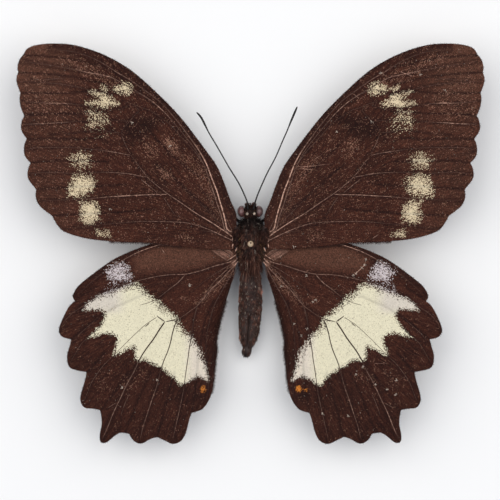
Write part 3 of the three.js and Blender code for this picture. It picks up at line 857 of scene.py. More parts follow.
# %% Paint a wing
BASE_WEAR = {"front": 0.07, "back": 0.0}
WING_ROOTS = {"front": (3.3, 1.5), "back": (3.3, -4.2)}
FOLD_SHADE_WIDTH = 0.28
VEIN_SHADE_AT, VEIN_SHADE_WIDTH = 3.0, 2.2
FAN_CENTRE = 2.5
FAN_TURN = 30
SIDE_SHIFT = 7.0


def paint(mesh, pair, side, x, y):
    """Gives each point of a wing the numbers that its material reads."""
    cover = coverage(WING_MARKS[pair], x, y)
    if pair == "back":
        cover = cover * (1 - rootward_dust(x, y))
    veins = [distance_to(line, x, y) / width for width, _, line in WING_VEINS[pair].values()]
    folds = [distance_to(line, x, y) for line in WING_FOLDS[pair]]
    wear = np.full(x.shape, BASE_WEAR[pair])
    for density, softness, shape in RUBS[pair] + OWN_RUBS.get((pair, side), []):
        wear = np.maximum(wear, density * blend_in(-softness, softness, depth_in(shape, x, y)))
    out, up = x - WING_ROOTS[pair][0], y - WING_ROOTS[pair][1]
    turn = np.arctan2(up, out + FAN_CENTRE) * FAN_TURN
    fan = np.column_stack([np.hypot(out, up), turn, np.full(len(x), SIDES[side] * SIDE_SHIFT)])
    set_values(mesh, "cover", cover)
    set_values(mesh, "ground", ground_of(pair, x, y))
    # painted shade: the colour darkens along the folds between the veins
    set_values(mesh, "fold_shade", bell(np.min(folds, axis=0), FOLD_SHADE_WIDTH))
    # painted shade: a darker band along each side of the raised veins
    set_values(mesh, "flank", bell(np.min(veins, axis=0), VEIN_SHADE_WIDTH, VEIN_SHADE_AT))
    set_values(mesh, "wear", wear)
    set_values(mesh, "orange", orange_of(pair, side, x, y))
    set_values(mesh, "tint", np.column_stack([tint_of(pair, x, y), np.ones(len(x))]), "FLOAT_COLOR")
    set_values(mesh, "fan", fan, "FLOAT_VECTOR")


# %% [markdown]
# ## The scales
# A butterfly's colour is a coat of scales, each a flat flake of one colour. Voronoi cells about
# 0.15 mm wide stand for them. Every cell has its own random number: where the cover is above that
# number the cell is pale, so a half-covered area is a scatter of pale flakes and not a grey blur.
# Streaks that fan out from the root vary the brown, and where a wing is worn some cells show the
# bare membrane.

# %% Wing material
SCALE_CELLS = 6600
GROUND_BROWN = linear(70, 37, 27)
PALE_BROWN = linear(107, 72, 57)
DEEP_BROWN = linear(36, 18, 15)
RUBBED_PINK = linear(178, 132, 114)
SPECK = linear(160, 114, 98)
OLIVE_SPECK = linear(128, 98, 76)
FOLD_SHADED_CREAM = linear(158, 150, 136)
STAINED_CREAM = linear(140, 122, 92)

wing = Finish("wing_scales", Roughness=0.62, Specular_IOR_Level=0.06, Sheen_Weight=0.006,
              Sheen_Roughness=0.5)


def fan_noise(stretch, **settings):
    """Noise drawn out into streaks that fan out from the wing's root."""
    vectors = {0: wing.attribute("fan", "Vector"), 1: stretch}
    return wing.noise(1.0, wing.node("VectorMath", vectors, operation="MULTIPLY"), **settings)


flake = wing.cells(SCALE_CELLS)
flake_parts = wing.tree.nodes.new("ShaderNodeSeparateColor")
wing.tree.links.new(flake, flake_parts.inputs[0])
draw, second_draw, third_draw = flake_parts.outputs[:3]
clump = wing.noise(700, detail=4.0)
streak = fan_noise((0.22, 1.7, 1.0), detail=4.0, roughness=0.65)
fine_streak = fan_noise((0.45, 4.5, 1.0))
broad = wing.noise(90)
ground = wing.mix(wing.remap(streak, 0.38, 0.66, 0.0, 0.85), GROUND_BROWN, DEEP_BROWN)
ground = wing.mix(wing.remap(fine_streak, 0.45, 0.6, 0.0, 0.6), ground, DEEP_BROWN)
ground = wing.mix(wing.remap(fine_streak, 0.3, 0.46, 0.32, 0.0), ground, PALE_BROWN)
ground = wing.mix(wing.remap(broad, 0.35, 0.7, 0.0, 0.45), ground, [c * 1.3 for c in GROUND_BROWN])
amount = wing.attribute("ground")
ground = wing.mix(wing.positive(amount), ground, PALE_BROWN)
ground = wing.mix(wing.positive(wing.math("SUBTRACT", amount, 1.0)), ground, RUBBED_PINK)
ground = wing.mix(wing.positive(wing.math("MULTIPLY", amount, -1.0)), ground, DEEP_BROWN)
# painted shade: the brown ground darkened along the folds between the veins
ground = wing.mix(wing.math("MULTIPLY", wing.attribute("fold_shade"), 0.9), ground, DEEP_BROWN)
# painted shade: the brown ground darkened beside the raised veins
ground = wing.mix(wing.math("MULTIPLY", wing.attribute("flank"), 0.65), ground, DEEP_BROWN)
ground = wing.dim(ground, wing.remap(second_draw, 0.0, 1.0, 0.4, 1.5))
everywhere = wing.remap(clump, 0.4, 0.68, 0.008, 0.09)
bare = wing.math("MULTIPLY_ADD", wing.attribute("wear"), 0.55, everywhere)
bare = wing.math("MULTIPLY", bare, wing.remap(fine_streak, 0.35, 0.6, 1.5, 0.4))
speck_mask = wing.remap(wing.math("SUBTRACT", bare, third_draw), 0.0, 0.06, 0.0, 0.9)
ground = wing.mix(speck_mask, ground, wing.mix(second_draw, SPECK, OLIVE_SPECK))
cover = wing.attribute("cover")
pale_level = wing.math("MULTIPLY_ADD", wing.math("SUBTRACT", clump, 0.5), 0.65, cover)
raggedness = wing.remap(cover, 0.5, 1.05, 1.4, 0.0)
streaked = wing.math("SUBTRACT", 0.5, fine_streak)
pale_level = wing.math("MULTIPLY_ADD", streaked, raggedness, pale_level)
pale_level = wing.math("MULTIPLY", pale_level, wing.remap(cover, 0.0, 0.15))
pale_mask = wing.remap(wing.math("SUBTRACT", pale_level, draw), 0.0, 0.07)
pale = wing.dim(wing.attribute("tint", "Color"), wing.remap(third_draw, 0.0, 1.0, 0.84, 1.08))
# painted shade: the pale scales darkened along the folds
pale = wing.mix(wing.math("MULTIPLY", wing.attribute("fold_shade"), 0.42), pale, FOLD_SHADED_CREAM)
pale = wing.mix(wing.remap(third_draw, 0.93, 0.96, 0.0, 0.6), pale, STAINED_CREAM)
coloured = wing.mix(pale_mask, ground, pale)
glow_mask = wing.remap(wing.math("SUBTRACT", wing.attribute("orange"), draw), 0.0, 0.2)
coloured = wing.mix(glow_mask, coloured, ORANGE)
wing.wire("Base Color", coloured)
wing.wire("Roughness", wing.remap(second_draw, 0.0, 1.0, 0.5, 0.78))
flake_domes = wing.cells(SCALE_CELLS, output="Distance")
wing.bump(wing.math("ADD", flake_domes, wing.noise(2200)), 0.22, 0.00008)
print("wing material nodes:", len(wing.tree.nodes))

# %% [markdown]
# ## Wing membranes
# Sheet, relief and paint come together here. A Solidify modifier turns each sheet into a thin
# membrane with an upper and an under side, and both carry the same marks.

# %% Make the four membranes
MEMBRANE = 0.13
CAD_WINGS = {"front": "forewing", "back": "hindwing"}


def membrane(pair, side):
    """A wing's sheet, raised, painted and given a thickness."""
    node = f"{CAD_WINGS[pair]}_{side}"
    bm = wing_outline(node)
    cut_to_grid(bm, GRID)
    made = piece(f"membrane_{pair}_{side}", bm, [wing.material], [node])
    spots = places(made.data)
    x, y = spots[:, 0] * SIDES[side], spots[:, 1]
    spots[:, 2] = wing_height(pair, x, y)
    made.data.vertices.foreach_set("co", (spots * MM).astype(np.float32).ravel())
    paint(made.data, pair, side, x, y)
    made.data.update()
    thick = made.modifiers.new("thickness", "SOLIDIFY")
    thick.thickness = MEMBRANE * MM
    thick.offset = 0
    print(made.name, "points", len(made.data.vertices), "faces", len(made.data.polygons))
    return made


MEMBRANES = {(pair, side): membrane(pair, side) for pair in WING_MID_Z for side in SIDES}

# %% [markdown]
# ## Vein tubes
# Each vein is a thin tube that tapers from the root to the margin and lies half sunk in the
# membrane. Its tone decides between dark, scaled stretches and bare, tan ones. Where a vein crosses
# a cream mark it is always dark. The scratches are laid in the same way.

# %% Vein material
BARE_VEIN = linear(214, 168, 146)
SCALED_VEIN = linear(50, 27, 22)

vein = Finish("vein_cuticle", Roughness=0.42, Specular_IOR_Level=0.12)
rubbed_patches = vein.remap(vein.noise(1900, detail=4.0), 0.32, 0.66, 0.35, 1.3)
tone = vein.math("MULTIPLY", vein.attribute("tone"), rubbed_patches)
vein.wire("Base Color", vein.mix(vein.math("POWER", tone, 1.9), SCALED_VEIN, BARE_VEIN))
vein.bump(vein.noise(5200), 0.3, 0.00003)


# %% Lay the veins
VEIN_STEP = 0.6
VEIN_LIFT = 0.05
VEIN_SIDES = 6


def vein_tubes(pair, side):
    """All veins and scratches of a wing as one piece, each place with its tone."""
    tubes, tones = [], []
    scratches = SCRATCHES.get((pair, side), {})
    for width, levels, line in [*WING_VEINS[pair].values(), *scratches.values()]:
        flat = smooth_course(line, VEIN_STEP)
        x, y = flat[:, 0], flat[:, 1]
        part = along(flat)
        course = np.column_stack([x * SIDES[side], y, wing_height(pair, x, y) + VEIN_LIFT])
        radii = width * (1 - 0.5 * part) * (1 - 0.75 * blend_in(0.93, 1.0, part))
        tubes.append(sweep(course, radii, sides=VEIN_SIDES))
        hidden = blend_in(0.35, 0.7, coverage(WING_MARKS[pair], x, y))
        bright = np.interp(part, np.linspace(0, 1, len(levels)), levels) * (1 - hidden)
        tones.append((course[:, :2], bright, len(tubes[-1].verts)))
    made = piece(f"veins_{pair}_{side}", gather(tubes), [vein.material])
    spots = places(made.data)[:, :2]
    values, start = np.empty(len(spots)), 0
    for course, bright, count in tones:
        own = spots[start:start + count]
        nearest = np.argmin(((own[:, None] - course[None]) ** 2).sum(axis=2), axis=1)
        values[start:start + count] = bright[nearest]
        start += count
    set_values(made.data, "tone", values)
    print(made.name, "points", len(spots))


for pair in WING_MID_Z:
    for side in SIDES:
        vein_tubes(pair, side)

# %% [markdown]
# ## Fur
# The body is clothed in hair-like scales. One hair is modelled once: a three-sided spike of a few
# faces. Its copies are laid out with numpy and joined into one mesh for each part of the body,
# which renders fast and, unlike a particle system, is real geometry.

# %% One hair
def hair_shape():
    """A spike one unit long along +Z, with a radius of one unit at its foot."""
    bm = bmesh.new()
    bmesh.ops.create_circle(bm, segments=3, radius=1)
    edges = bm.edges[:]
    for height, width in ((0.4, 0.85), (0.8, 0.5), (1.0, 0.0)):
        ring, edges = next_ring(bm, edges)
        for v in ring:
            v.co = Vector((v.co.x, v.co.y, 0)).normalized() * width + Vector((0, 0, height))
    mesh = in_order("hair", close_ends(bm, (ring, (0, 0, 1))))
    mesh.calc_loop_triangles()
    triangles = np.array([t.vertices for t in mesh.loop_triangles])
    return np.array([v.co for v in mesh.vertices]), triangles


HAIR_SHAPE, HAIR_FACES = hair_shape()
print("one hair:", len(HAIR_SHAPE), "points,", len(HAIR_FACES), "triangles")

# %% Many hairs in one mesh
# painted shade and light: each hair is darker at its root, inside the coat, and lighter towards its
# tip
ROOT_PAINTED_SHADE, TIP_PAINTED_LIGHT = 0.45, 0.75
ASKEW = np.array([0.31, 0.83, 0.47])


def unit(vectors):
    """The directions as vectors of length one."""
    return vectors / (np.linalg.norm(vectors, axis=-1, keepdims=True) + TINY)


def hairs(name, roots, ways, lengths, radius, bends, colours):
    """One mesh of many hairs, in mm: each leaves its root along its way and bends over."""
    ways = unit(ways)
    aside = unit(np.cross(ways, ASKEW))
    other = np.cross(ways, aside)
    thick = np.broadcast_to(radius, lengths.shape)[:, None, None]
    height = HAIR_SHAPE[None, :, 2:3]
    spots = roots[:, None] + ways[:, None] * height * lengths[:, None, None]
    spots = spots + bends[:, None] * (height**2) * lengths[:, None, None]
    round_it = aside[:, None] * HAIR_SHAPE[None, :, 0:1] + other[:, None] * HAIR_SHAPE[None, :, 1:2]
    spots = spots + round_it * thick
    count, corners = len(roots), len(HAIR_SHAPE)
    faces = (HAIR_FACES[None] + (np.arange(count) * corners)[:, None, None]).reshape(-1, 3)
    mesh = bpy.data.meshes.new(name)
    mesh.vertices.add(count * corners)
    mesh.vertices.foreach_set("co", (spots * MM).astype(np.float32).ravel())
    mesh.loops.add(faces.size)
    mesh.loops.foreach_set("vertex_index", faces.astype(np.int32).ravel())
    mesh.polygons.add(len(faces))
    mesh.polygons.foreach_set("loop_start", np.arange(0, faces.size, 3, dtype=np.int32))
    mesh.update(calc_edges=True)
    mesh.shade_smooth()
    # painted shade at the root and painted light at the tip of each hair
    tinted = colours[:, None] * (ROOT_PAINTED_SHADE + TIP_PAINTED_LIGHT * HAIR_SHAPE[:, 2])[None, :, None]
    tinted = np.concatenate([tinted, np.ones(tinted.shape[:2] + (1,))], axis=2)
    set_values(mesh, "hair", tinted.reshape(-1, 4), "FLOAT_COLOR")
    settle(name, mesh, [fur.material])
    print(name, "hairs", count, "triangles", len(faces))


# %% Places for hairs
def scatter(made, count, rng):
    """Random places on a piece, in mm, with the surface's direction at each."""
    mesh = made.data
    mesh.calc_loop_triangles()
    corners = np.empty(len(mesh.loop_triangles) * 3, np.int32)
    mesh.loop_triangles.foreach_get("vertices", corners)
    a, b, c = places(mesh)[corners.reshape(-1, 3)].transpose(1, 0, 2)
    across = np.cross(b - a, c - a)
    area = np.linalg.norm(across, axis=1)
    chosen = rng.choice(len(area), count, p=area / area.sum())
    u, v = rng.random(count), rng.random(count)
    over = u + v > 1
    u[over], v[over] = 1 - u[over], 1 - v[over]
    at = a[chosen] + (b - a)[chosen] * u[:, None] + (c - a)[chosen] * v[:, None]
    return at, unit(across[chosen])


# %% Fur material
fur = Finish("body_fur", Roughness=0.5, Specular_IOR_Level=0.12)
fur_shade = fur.remap(fur.noise(1400, detail=4.0), 0.3, 0.7, 0.7, 1.3)
fur.wire("Base Color", fur.dim(fur.attribute("hair", "Color"), fur_shade))
fur.wire("Roughness", fur.remap(fur.noise(3000), 0.3, 0.7, 0.38, 0.62))

SKIN_BROWNS = linear(28, 19, 17), linear(70, 46, 38)
skin = Finish("dark_skin", Roughness=0.55, Specular_IOR_Level=0.4)
skin.wire("Base Color", skin.mix(skin.noise(1100, detail=5.0), *SKIN_BROWNS))
skin.wire("Roughness", skin.remap(skin.noise(2500), 0.3, 0.7, 0.4, 0.75))
skin.bump(skin.noise(3500, detail=5.0), 0.5, 0.00006)

# %% [markdown]
# ## Thorax
# The middle of the body holds the wing muscles. It is a blunt barrel, a little higher than wide,
# with shallow seams between its plates. The core is swept ring by ring and then furred: dark brown
# over the back, black at the collar, a longer brush over the waist, and tan and dark hair at the
# shoulders beside the wing roots.

# %% Thorax core
THORAX_Z = 6.4
THORAX_HEIGHT = 1.16
THORAX_PROFILE = [(-6.5, 0.25), (-6.3, 1.2), (-5.2, 1.8), (-2.6, 2.6), (0.4, 3.1), (2.8, 3.0),
                  (4.6, 2.55), (5.65, 1.5), (5.85, 0.3)]


def plates(angle, part):
    """Shallow seams across the back and one along its middle."""
    seams = sum(math.exp(-(((part - at) / 0.018) ** 2)) for at in (0.22, 0.48, 0.83))
    middle = math.exp(-(((angle - math.pi / 2) / 0.12) ** 2))
    return 1 - 0.035 * seams - 0.03 * middle + 0.012 * math.sin(angle * 7 + part * 23)


profile = smooth_course(THORAX_PROFILE, 0.25)
spine = np.column_stack([np.zeros(len(profile)), profile[:, 0], np.full(len(profile), THORAX_Z)])
girth = [(w, w * THORAX_HEIGHT) for w in np.maximum(profile[:, 1], 0.05)]
barrel = sweep(spine, girth, sides=40, section=plates)
thorax_core = piece("thorax_core", barrel, [skin.material], ["thorax"])
print("thorax points", len(thorax_core.data.vertices))

# %% Coats of hair
DARK_HAIR = np.array(linear(58, 35, 29))
BROWN_HAIR = np.array(linear(112, 76, 63))
BLACK_HAIR = np.array(linear(26, 18, 17))
PALE_HAIR = np.array(linear(190, 175, 160))
TAN_HAIR = np.array(linear(150, 118, 82))
TUFT_SIZE = 1.3
TOUSLE = 0.8
TUFT_CONTRAST = 1.5
HAIR_LUCK = 0.5
ROOTED = 0.05


def coat(name, core, count, seed, reach, radius, lean, colour, where=None,
         stray=0.35):
    """Furs a piece.

    reach is the shortest and longest hair, and lean says where hairs point and how flat they lie.
    colour(at, rng) gives each hair its colour, and where(at, out) says which places are furred.
    """
    rng = chance(seed)
    at, out = scatter(core, count, rng)
    if where:
        kept = where(at, out)
        at, out = at[kept], out[kept]
    lengths = rng.uniform(*reach, len(at))
    ways = unit(out) + np.array(lean) + rng.normal(0, stray, out.shape)
    bends = np.array(lean) * 0.55 + rng.normal(0, stray * 0.5, out.shape)
    tuft = np.array([noise.noise(Vector(spot) * TUFT_SIZE) for spot in at])
    swirl = np.array([noise.noise_vector(Vector(spot) * TUFT_SIZE) for spot in at])
    lengths = lengths * (1 + 0.5 * tuft)
    ways = ways + swirl * TOUSLE
    luck = np.exp(rng.normal(0, HAIR_LUCK, len(at)) + TUFT_CONTRAST * tuft)
    colours = colour(at, rng) * np.clip(luck, 0.25, 2.2)[:, None]
    hairs(name, at - out * ROOTED, ways, lengths, radius, bends, colours)


def mixed(rest, *tones):
    """A colour function: a draw below a tone's limit gives a hair that tone, others get rest."""
    def colour(at, rng):
        draws = rng.random((len(at), 1))
        dealt = rest
        for limit, tone in reversed(tones):
            dealt = np.where(draws < limit, tone, dealt)
        return dealt
    return colour


# %% Thorax fur
def thorax_colour(at, rng):
    """Brown with a few pale glints, and black at the collar."""
    collar = blend_in(2.8, 4.6, at[:, 1])[:, None]
    patchy = rng.random((len(at), 1))
    brown = np.where(patchy < 0.72, DARK_HAIR * 0.85, BROWN_HAIR)
    glint = rng.random((len(at), 1)) < 0.03 + 0.03 * collar
    return np.where(glint, PALE_HAIR * 0.6, brown * (1 - collar) + BLACK_HAIR * collar)


def off_the_pin(at, out):
    return np.hypot(at[:, 0], at[:, 1]) > 0.45


def at_the_waist(at, out):
    return (at[:, 1] < -3.2) & (at[:, 2] > 5)


def at_the_collar(at, out):
    return (at[:, 1] > 3.4) & (at[:, 2] > 6)


def beside_the_wings(at, out):
    return (np.abs(at[:, 0]) > 1.9) & (at[:, 2] > 7.5) & (at[:, 1] < 2) & (at[:, 1] > -5.5)


coat("thorax_fur", thorax_core, count=8500, seed=11, reach=(0.5, 1.15), radius=0.045,
     lean=(0, -0.75, 0), colour=thorax_colour, where=off_the_pin)
coat("waist_fur", thorax_core, count=6000, seed=17, reach=(0.9, 1.9), radius=0.04,
     lean=(0, -1.5, 0.25), colour=thorax_colour, where=at_the_waist, stray=0.22)
coat("collar_fur", thorax_core, count=5000, seed=18, reach=(0.5, 1.0), radius=0.045,
     lean=(0, 0.5, 0.2), colour=thorax_colour, where=at_the_collar)
coat("shoulder_fur", thorax_core, count=5000, seed=19, reach=(0.5, 1.3), radius=0.03,
     lean=(0, -0.45, 0.1), colour=mixed(DARK_HAIR, (0.45, TAN_HAIR)),
     where=beside_the_wings, stray=0.3)

# %% [markdown]
# ## Head
# A small round capsule between the eyes, nearly hidden by dark bristly hair. Two tiny cream tufts
# stand behind the feelers. The capsule starts as a sphere that is narrowed towards the mouth and
# swells at the brow.

# %% Head capsule
HEAD_CENTRE = Vector((0, 7.5, 6.5))
HEAD_RADII = Vector((1.75, 1.3, 1.65))


def head_shape(at):
    """Narrows downwards, with a ridge across the brow."""
    narrow = 1 - 0.22 * max(0, -at.z)
    brow = 1 + 0.08 * math.exp(-((at.z - 0.55) ** 2) / 0.05)
    return at.x * narrow * HEAD_RADII.x, at.y * brow * HEAD_RADII.y, at.z * HEAD_RADII.z


capsule = ball(28, 40, HEAD_CENTRE, head_shape)
head_core = piece("head_capsule", capsule, [skin.material], ["head"])
print("head points", len(head_core.data.vertices))

# %% Head hair
TUFTS = np.array([(-0.87, 7.2), (0.97, 7.2)])

coat("head_fur", head_core, count=3600, seed=12, reach=(0.35, 0.75), radius=0.032,
     lean=(0, -0.35, 0.1), colour=mixed(BROWN_HAIR, (0.42, BLACK_HAIR), (0.82, DARK_HAIR)))


def tufts():
    """Two pale tufts on the crown, two dark ones beside the feelers' roots and a brush on the brow.

    Each group is a place, a number of hairs, their spread, lengths and colour, and their way.
    """
    rng = chance(13)
    groups = [(x, y, 8.1, 150, 0.1, (0.25, 0.45), PALE_HAIR * 2.0, (-x * 0.3, -0.2, 0.9))
              for x, y in TUFTS]
    groups += [(x, 8.45, 7.5, 80, 0.2, (0.3, 0.5), BLACK_HAIR, (x * 0.3, 0.6, 0.9))
               for x in (-1.0, 1.0)]
    groups += [(x, 8.5, 7.5, 90, 0.25, (0.3, 0.6), DARK_HAIR, (0, 0.7, 0.7))
               for x in (-0.45, 0.0, 0.45)]
    rows = []
    for x, y, z, count, spread, reach, colour, way in groups:
        root = np.array([x, y, z]) + rng.normal(0, spread, (count, 3)) * (1, 1, 0.4)
        ways = np.array(way) + rng.normal(0, 0.28, (count, 3))
        rows.append((root, ways, rng.uniform(*reach, count), np.tile(colour, (count, 1))))
    root, ways, lengths, colours = (np.concatenate(column) for column in zip(*rows))
    hairs("head_tufts", root, ways, lengths, radius=0.04, bends=ways * 0.1, colours=colours)


tufts()

# %% [markdown]
# ## Eyes
# A compound eye is a dome of thousands of tiny lenses, dark brown with a faint reddish shine. The
# dome is a sphere squeezed towards the face and set in a thin raised rim; the lenses are a fine
# Voronoi relief, far too many to model singly. The left eye stands a little further out, as on the
# specimen.

# %% Eyes
EYE_CENTRE = Vector((1.88, 7.72, 6.8))
EYE_RADII = Vector((1.12, 1.38, 1.38))
EYE_LENSES = 9000

EYE_SHINE = (0.8, 0.55, 0.55, 1)
EYE_SHIFT = {"right": 0.0, "left": 0.15}
RIM_AT, RIM_DEEP, RIM_HIGH, RIM_GIRTH = -0.32, 1.32, 1.31, 0.09
RIM_POINTS = 49

eye = Finish("eye_lenses", Roughness=0.22, Coat_Weight=0.4, Coat_Roughness=0.12, Sheen_Weight=0.12,
             Sheen_Roughness=0.4, Sheen_Tint=EYE_SHINE)
eye_tone = eye.remap(eye.noise(900), 0.3, 0.7)
eye.wire("Base Color", eye.mix(eye_tone, linear(60, 34, 32), linear(110, 70, 66)))
eye.bump(eye.cells(EYE_LENSES, output="Distance"), 0.35, 0.00004)


def eye_dome(side):
    """A dome that is flatter towards the face and broader behind, in its rim."""
    bm = bmesh.new()
    bmesh.ops.create_uvsphere(bm, u_segments=48, v_segments=32, radius=1)
    bmesh.ops.rotate(bm, verts=bm.verts, matrix=Matrix.Rotation(math.pi / 2, 3, "Y"))
    for v in bm.verts:
        flat = 0.55 if v.co.x < 0 else 1
        egg = 1 - 0.1 * v.co.y
        across, high = v.co.x * EYE_RADII.x * flat, v.co.z * EYE_RADII.z * egg
        v.co = Vector((across, v.co.y * EYE_RADII.y, high))
    rounds = np.linspace(0, 2 * math.pi, RIM_POINTS)
    rim = np.array([(RIM_AT, math.cos(a) * RIM_DEEP, math.sin(a) * RIM_HIGH) for a in rounds])
    dome = gather([bm, sweep(rim, np.full(RIM_POINTS, RIM_GIRTH), sides=8, up=(1, 0, 0))])
    bmesh.ops.translate(dome, verts=dome.verts, vec=EYE_CENTRE + Vector((EYE_SHIFT[side], 0, 0)))
    return on_side(dome, side)


for side in SIDES:
    piece(f"eye_dome_{side}", eye_dome(side), [eye.material], [f"eye_{side}"])

# %% [markdown]
# ## Abdomen
# The rear body has dried hard: its rings are pinched, a dark slit runs along the top of the rear
# half and the tip has shrivelled to a knob. The core is swept along a drooping line, with the
# pinches, the slit and some wrinkles given by a section function, and then covered with very short
# hair that lies backwards.

# %% Abdomen core
ABDOMEN_FRONT = -6.6
ABDOMEN_LENGTH = 20.25
ABDOMEN_HIGH, ABDOMEN_LOW = 5.7, 2.95
ABDOMEN_BEND = 1.15
ABDOMEN_RINGS = 8
ABDOMEN_STEPS = 130
ABDOMEN_SIDES = 56
FLATTENED = 0.97
SLIT_ANGLE = math.pi / 2 - 0.05
ABDOMEN_PROFILE = [(0, 2.1), (0.06, 2.45), (0.2, 2.65), (0.42, 2.75), (0.6, 2.5), (0.72, 2.3),
                   (0.79, 2.1), (0.84, 1.5), (0.89, 0.95), (0.94, 1.05), (0.975, 0.85), (1.0, 0.3)]


def along_the_slit(angle, part, width, starts, ends):
    """1 on the slit's line, fading out sideways over the width and towards the slit's two ends."""
    lengthwise = blend_in(*starts, part) * (1 - blend_in(*ends, part))
    return math.exp(-(((angle - SLIT_ANGLE) / width) ** 2)) * float(lengthwise)


def dried(angle, part):
    """Pinched rings, the slit between its raised edges, and wrinkles that grow towards the tip."""
    pinch = abs(math.sin(math.pi * ABDOMEN_RINGS * part)) ** 0.6
    swell = 1 - 0.055 * (1 - pinch)
    slit = along_the_slit(angle, part, 0.1, (0.48, 0.56), (0.86, 0.92))
    edges = along_the_slit(angle, part, 0.45, (0.5, 0.6), (0.84, 0.92))
    crumple = noise.noise(Vector((math.cos(angle) * 1.6, part * 9, math.sin(angle) * 1.6)))
    fine = noise.noise(Vector((math.cos(angle) * 5, part * 40, math.sin(angle) * 5)))
    shrivel = float(blend_in(0.55, 0.95, part))
    wrinkled = swell - 0.5 * slit + 0.06 * edges + crumple * (0.03 + 0.13 * shrivel)
    return wrinkled + fine * (0.012 + 0.05 * shrivel)


def abdomen_course():
    """The abdomen's line, which droops and bends a little to the left."""
    part = np.linspace(0, 1, ABDOMEN_STEPS)
    droop = ABDOMEN_LOW + (ABDOMEN_HIGH - ABDOMEN_LOW) * (1 - blend_in(0, 0.55, part))
    aside, back = -ABDOMEN_BEND * part**3, ABDOMEN_FRONT - ABDOMEN_LENGTH * part
    return part, np.column_stack([aside, back, droop])


part, spine = abdomen_course()
girth = read_off(ABDOMEN_PROFILE, part)
rear = sweep(spine, np.column_stack([girth, girth * FLATTENED]), ABDOMEN_SIDES, section=dried)
abdomen_core = piece("abdomen_core", rear, [skin.material], ["abdomen"])
print("abdomen points", len(abdomen_core.data.vertices))

# %% Abdomen hair
SLIT_ASIDE = 0.12


def beside_the_slit(at):
    """Distance sideways from the slit, which bends with the abdomen."""
    middle = -ABDOMEN_BEND * ((ABDOMEN_FRONT - at[:, 1]) / ABDOMEN_LENGTH) ** 3 - SLIT_ASIDE
    return np.abs(at[:, 0] - middle)


def abdomen_colour(at, rng):
    """Mottled brown, darker in the pinches, with painted shade along the slit, and tan on the
    flanks near the middle.
    """
    flank = blend_in(1.4, 2.6, np.abs(at[:, 0] + 0.2))[:, None]
    # painted shade: hairs along the edges of the slit are darkened as if in its shadow
    slit = bell(beside_the_slit(at), 0.36) * blend_in(-16.5, -18, at[:, 1])
    brown = DARK_HAIR + (BROWN_HAIR - DARK_HAIR) * (0.5 + 0.5 * flank) * rng.random((len(at), 1))
    mottle = [noise.noise(Vector(spot) * 0.75 + Vector((3, 7, 1))) for spot in at]
    mottle = np.array(mottle)[:, None]
    ringed = np.abs(np.sin(math.pi * ABDOMEN_RINGS * (ABDOMEN_FRONT - at[:, 1]) / ABDOMEN_LENGTH))
    ringed = ringed[:, None] ** 0.5
    tan = bell(at[:, 1], 2.2, -11.5)[:, None] * flank
    brown = brown * np.exp(1.4 * mottle) * (0.65 + 0.5 * ringed) * (1 + 0.9 * tan)
    brown = np.where(rng.random((len(at), 1)) < 0.045, PALE_HAIR * 0.9, brown)
    # painted shade along the slit
    return brown * (1 - 0.93 * slit[:, None])


def off_the_slit(at, out):
    return (beside_the_slit(at) > 0.28) | (at[:, 1] > -17) | (at[:, 1] < -24.6) | (at[:, 2] < 3)


coat("abdomen_fur", abdomen_core, count=9500, seed=14, reach=(0.18, 0.42), radius=0.04,
     lean=(0, -1.3, 0), colour=abdomen_colour, where=off_the_slit, stray=0.3)

# %% [markdown]
# ## Shoulder covers
# A flap called a tegula covers each front wing's hinge. It is a thin shell shaped like a drop,
# broad in front. The sphere it starts from is flattened, bent down at its outer edge and furred on
# its upper side only.

# %% Tegulae
TEGULA_CENTRE = Vector((3.3, 2.1, 9.4))
TEGULA_RADII = Vector((0.8, 1.9, 0.38))


def tegula_shape(at):
    """Flat, broader in front and bent down outwards."""
    drop = 1 + 0.28 * at.y
    bent = -0.35 * max(0, at.x) ** 2
    return at.x * TEGULA_RADII.x * drop, at.y * TEGULA_RADII.y, at.z * TEGULA_RADII.z + bent


def on_top(at, out):
    return out[:, 2] > 0.15


for side, sign in SIDES.items():
    shell = on_side(ball(20, 32, TEGULA_CENTRE, tegula_shape), side)
    shell = piece(f"tegula_shell_{side}", shell, [skin.material], [f"tegula_{side}"])
    coat(f"tegula_fur_{side}", shell, count=1500, seed=15 + sign, reach=(0.25, 0.6), radius=0.04,
         lean=(0.1 * sign, -1.1, -0.05), colour=mixed(BROWN_HAIR, (0.95, DARK_HAIR * 0.75)),
         where=on_top)

# %% [markdown]
# ## Wing hinges
# Where the wings meet the body, small plates of bare cuticle show pale and pinkish between the
# hairs. They are short swept pads with the same cuticle as the veins, at a bright tone.

# %% Hinge plates
HINGE_PLATES = [
    (0.13, [(3.95, 1.7, 8.95), (4.1, 1.0, 9.05), (4.0, 0.4, 8.95)]),
    (0.12, [(3.9, 0.1, 9.0), (4.1, -0.5, 9.0), (4.0, -1.1, 8.9)]),
    (0.12, [(2.95, -0.7, 9.0), (3.2, -1.3, 8.95), (3.5, -1.9, 8.7)]),
    (0.14, [(2.9, -3.2, 8.2), (3.4, -3.9, 8.3), (4.3, -4.6, 8.05)]),
    (0.12, [(2.75, -3.9, 8.0), (3.2, -4.6, 8.1), (3.9, -5.3, 7.95)]),
    (0.1, [(3.2, -2.5, 8.3), (4.2, -3.2, 8.3), (5.4, -3.9, 8.1)]),
]
HINGE_GIRTH = [(0, 0.4), (0.2, 1), (0.7, 0.9), (1, 0.3)]
HINGE_OUT, HINGE_UP = 0.15, 0.3
HINGE_TONE = 0.9


def hinge_pad(radius, line):
    """A short pad, thick in the middle and thin at both ends."""
    course = smooth_course(line, 0.12)
    return sweep(course, radius * read_off(HINGE_GIRTH, along(course)), sides=10)


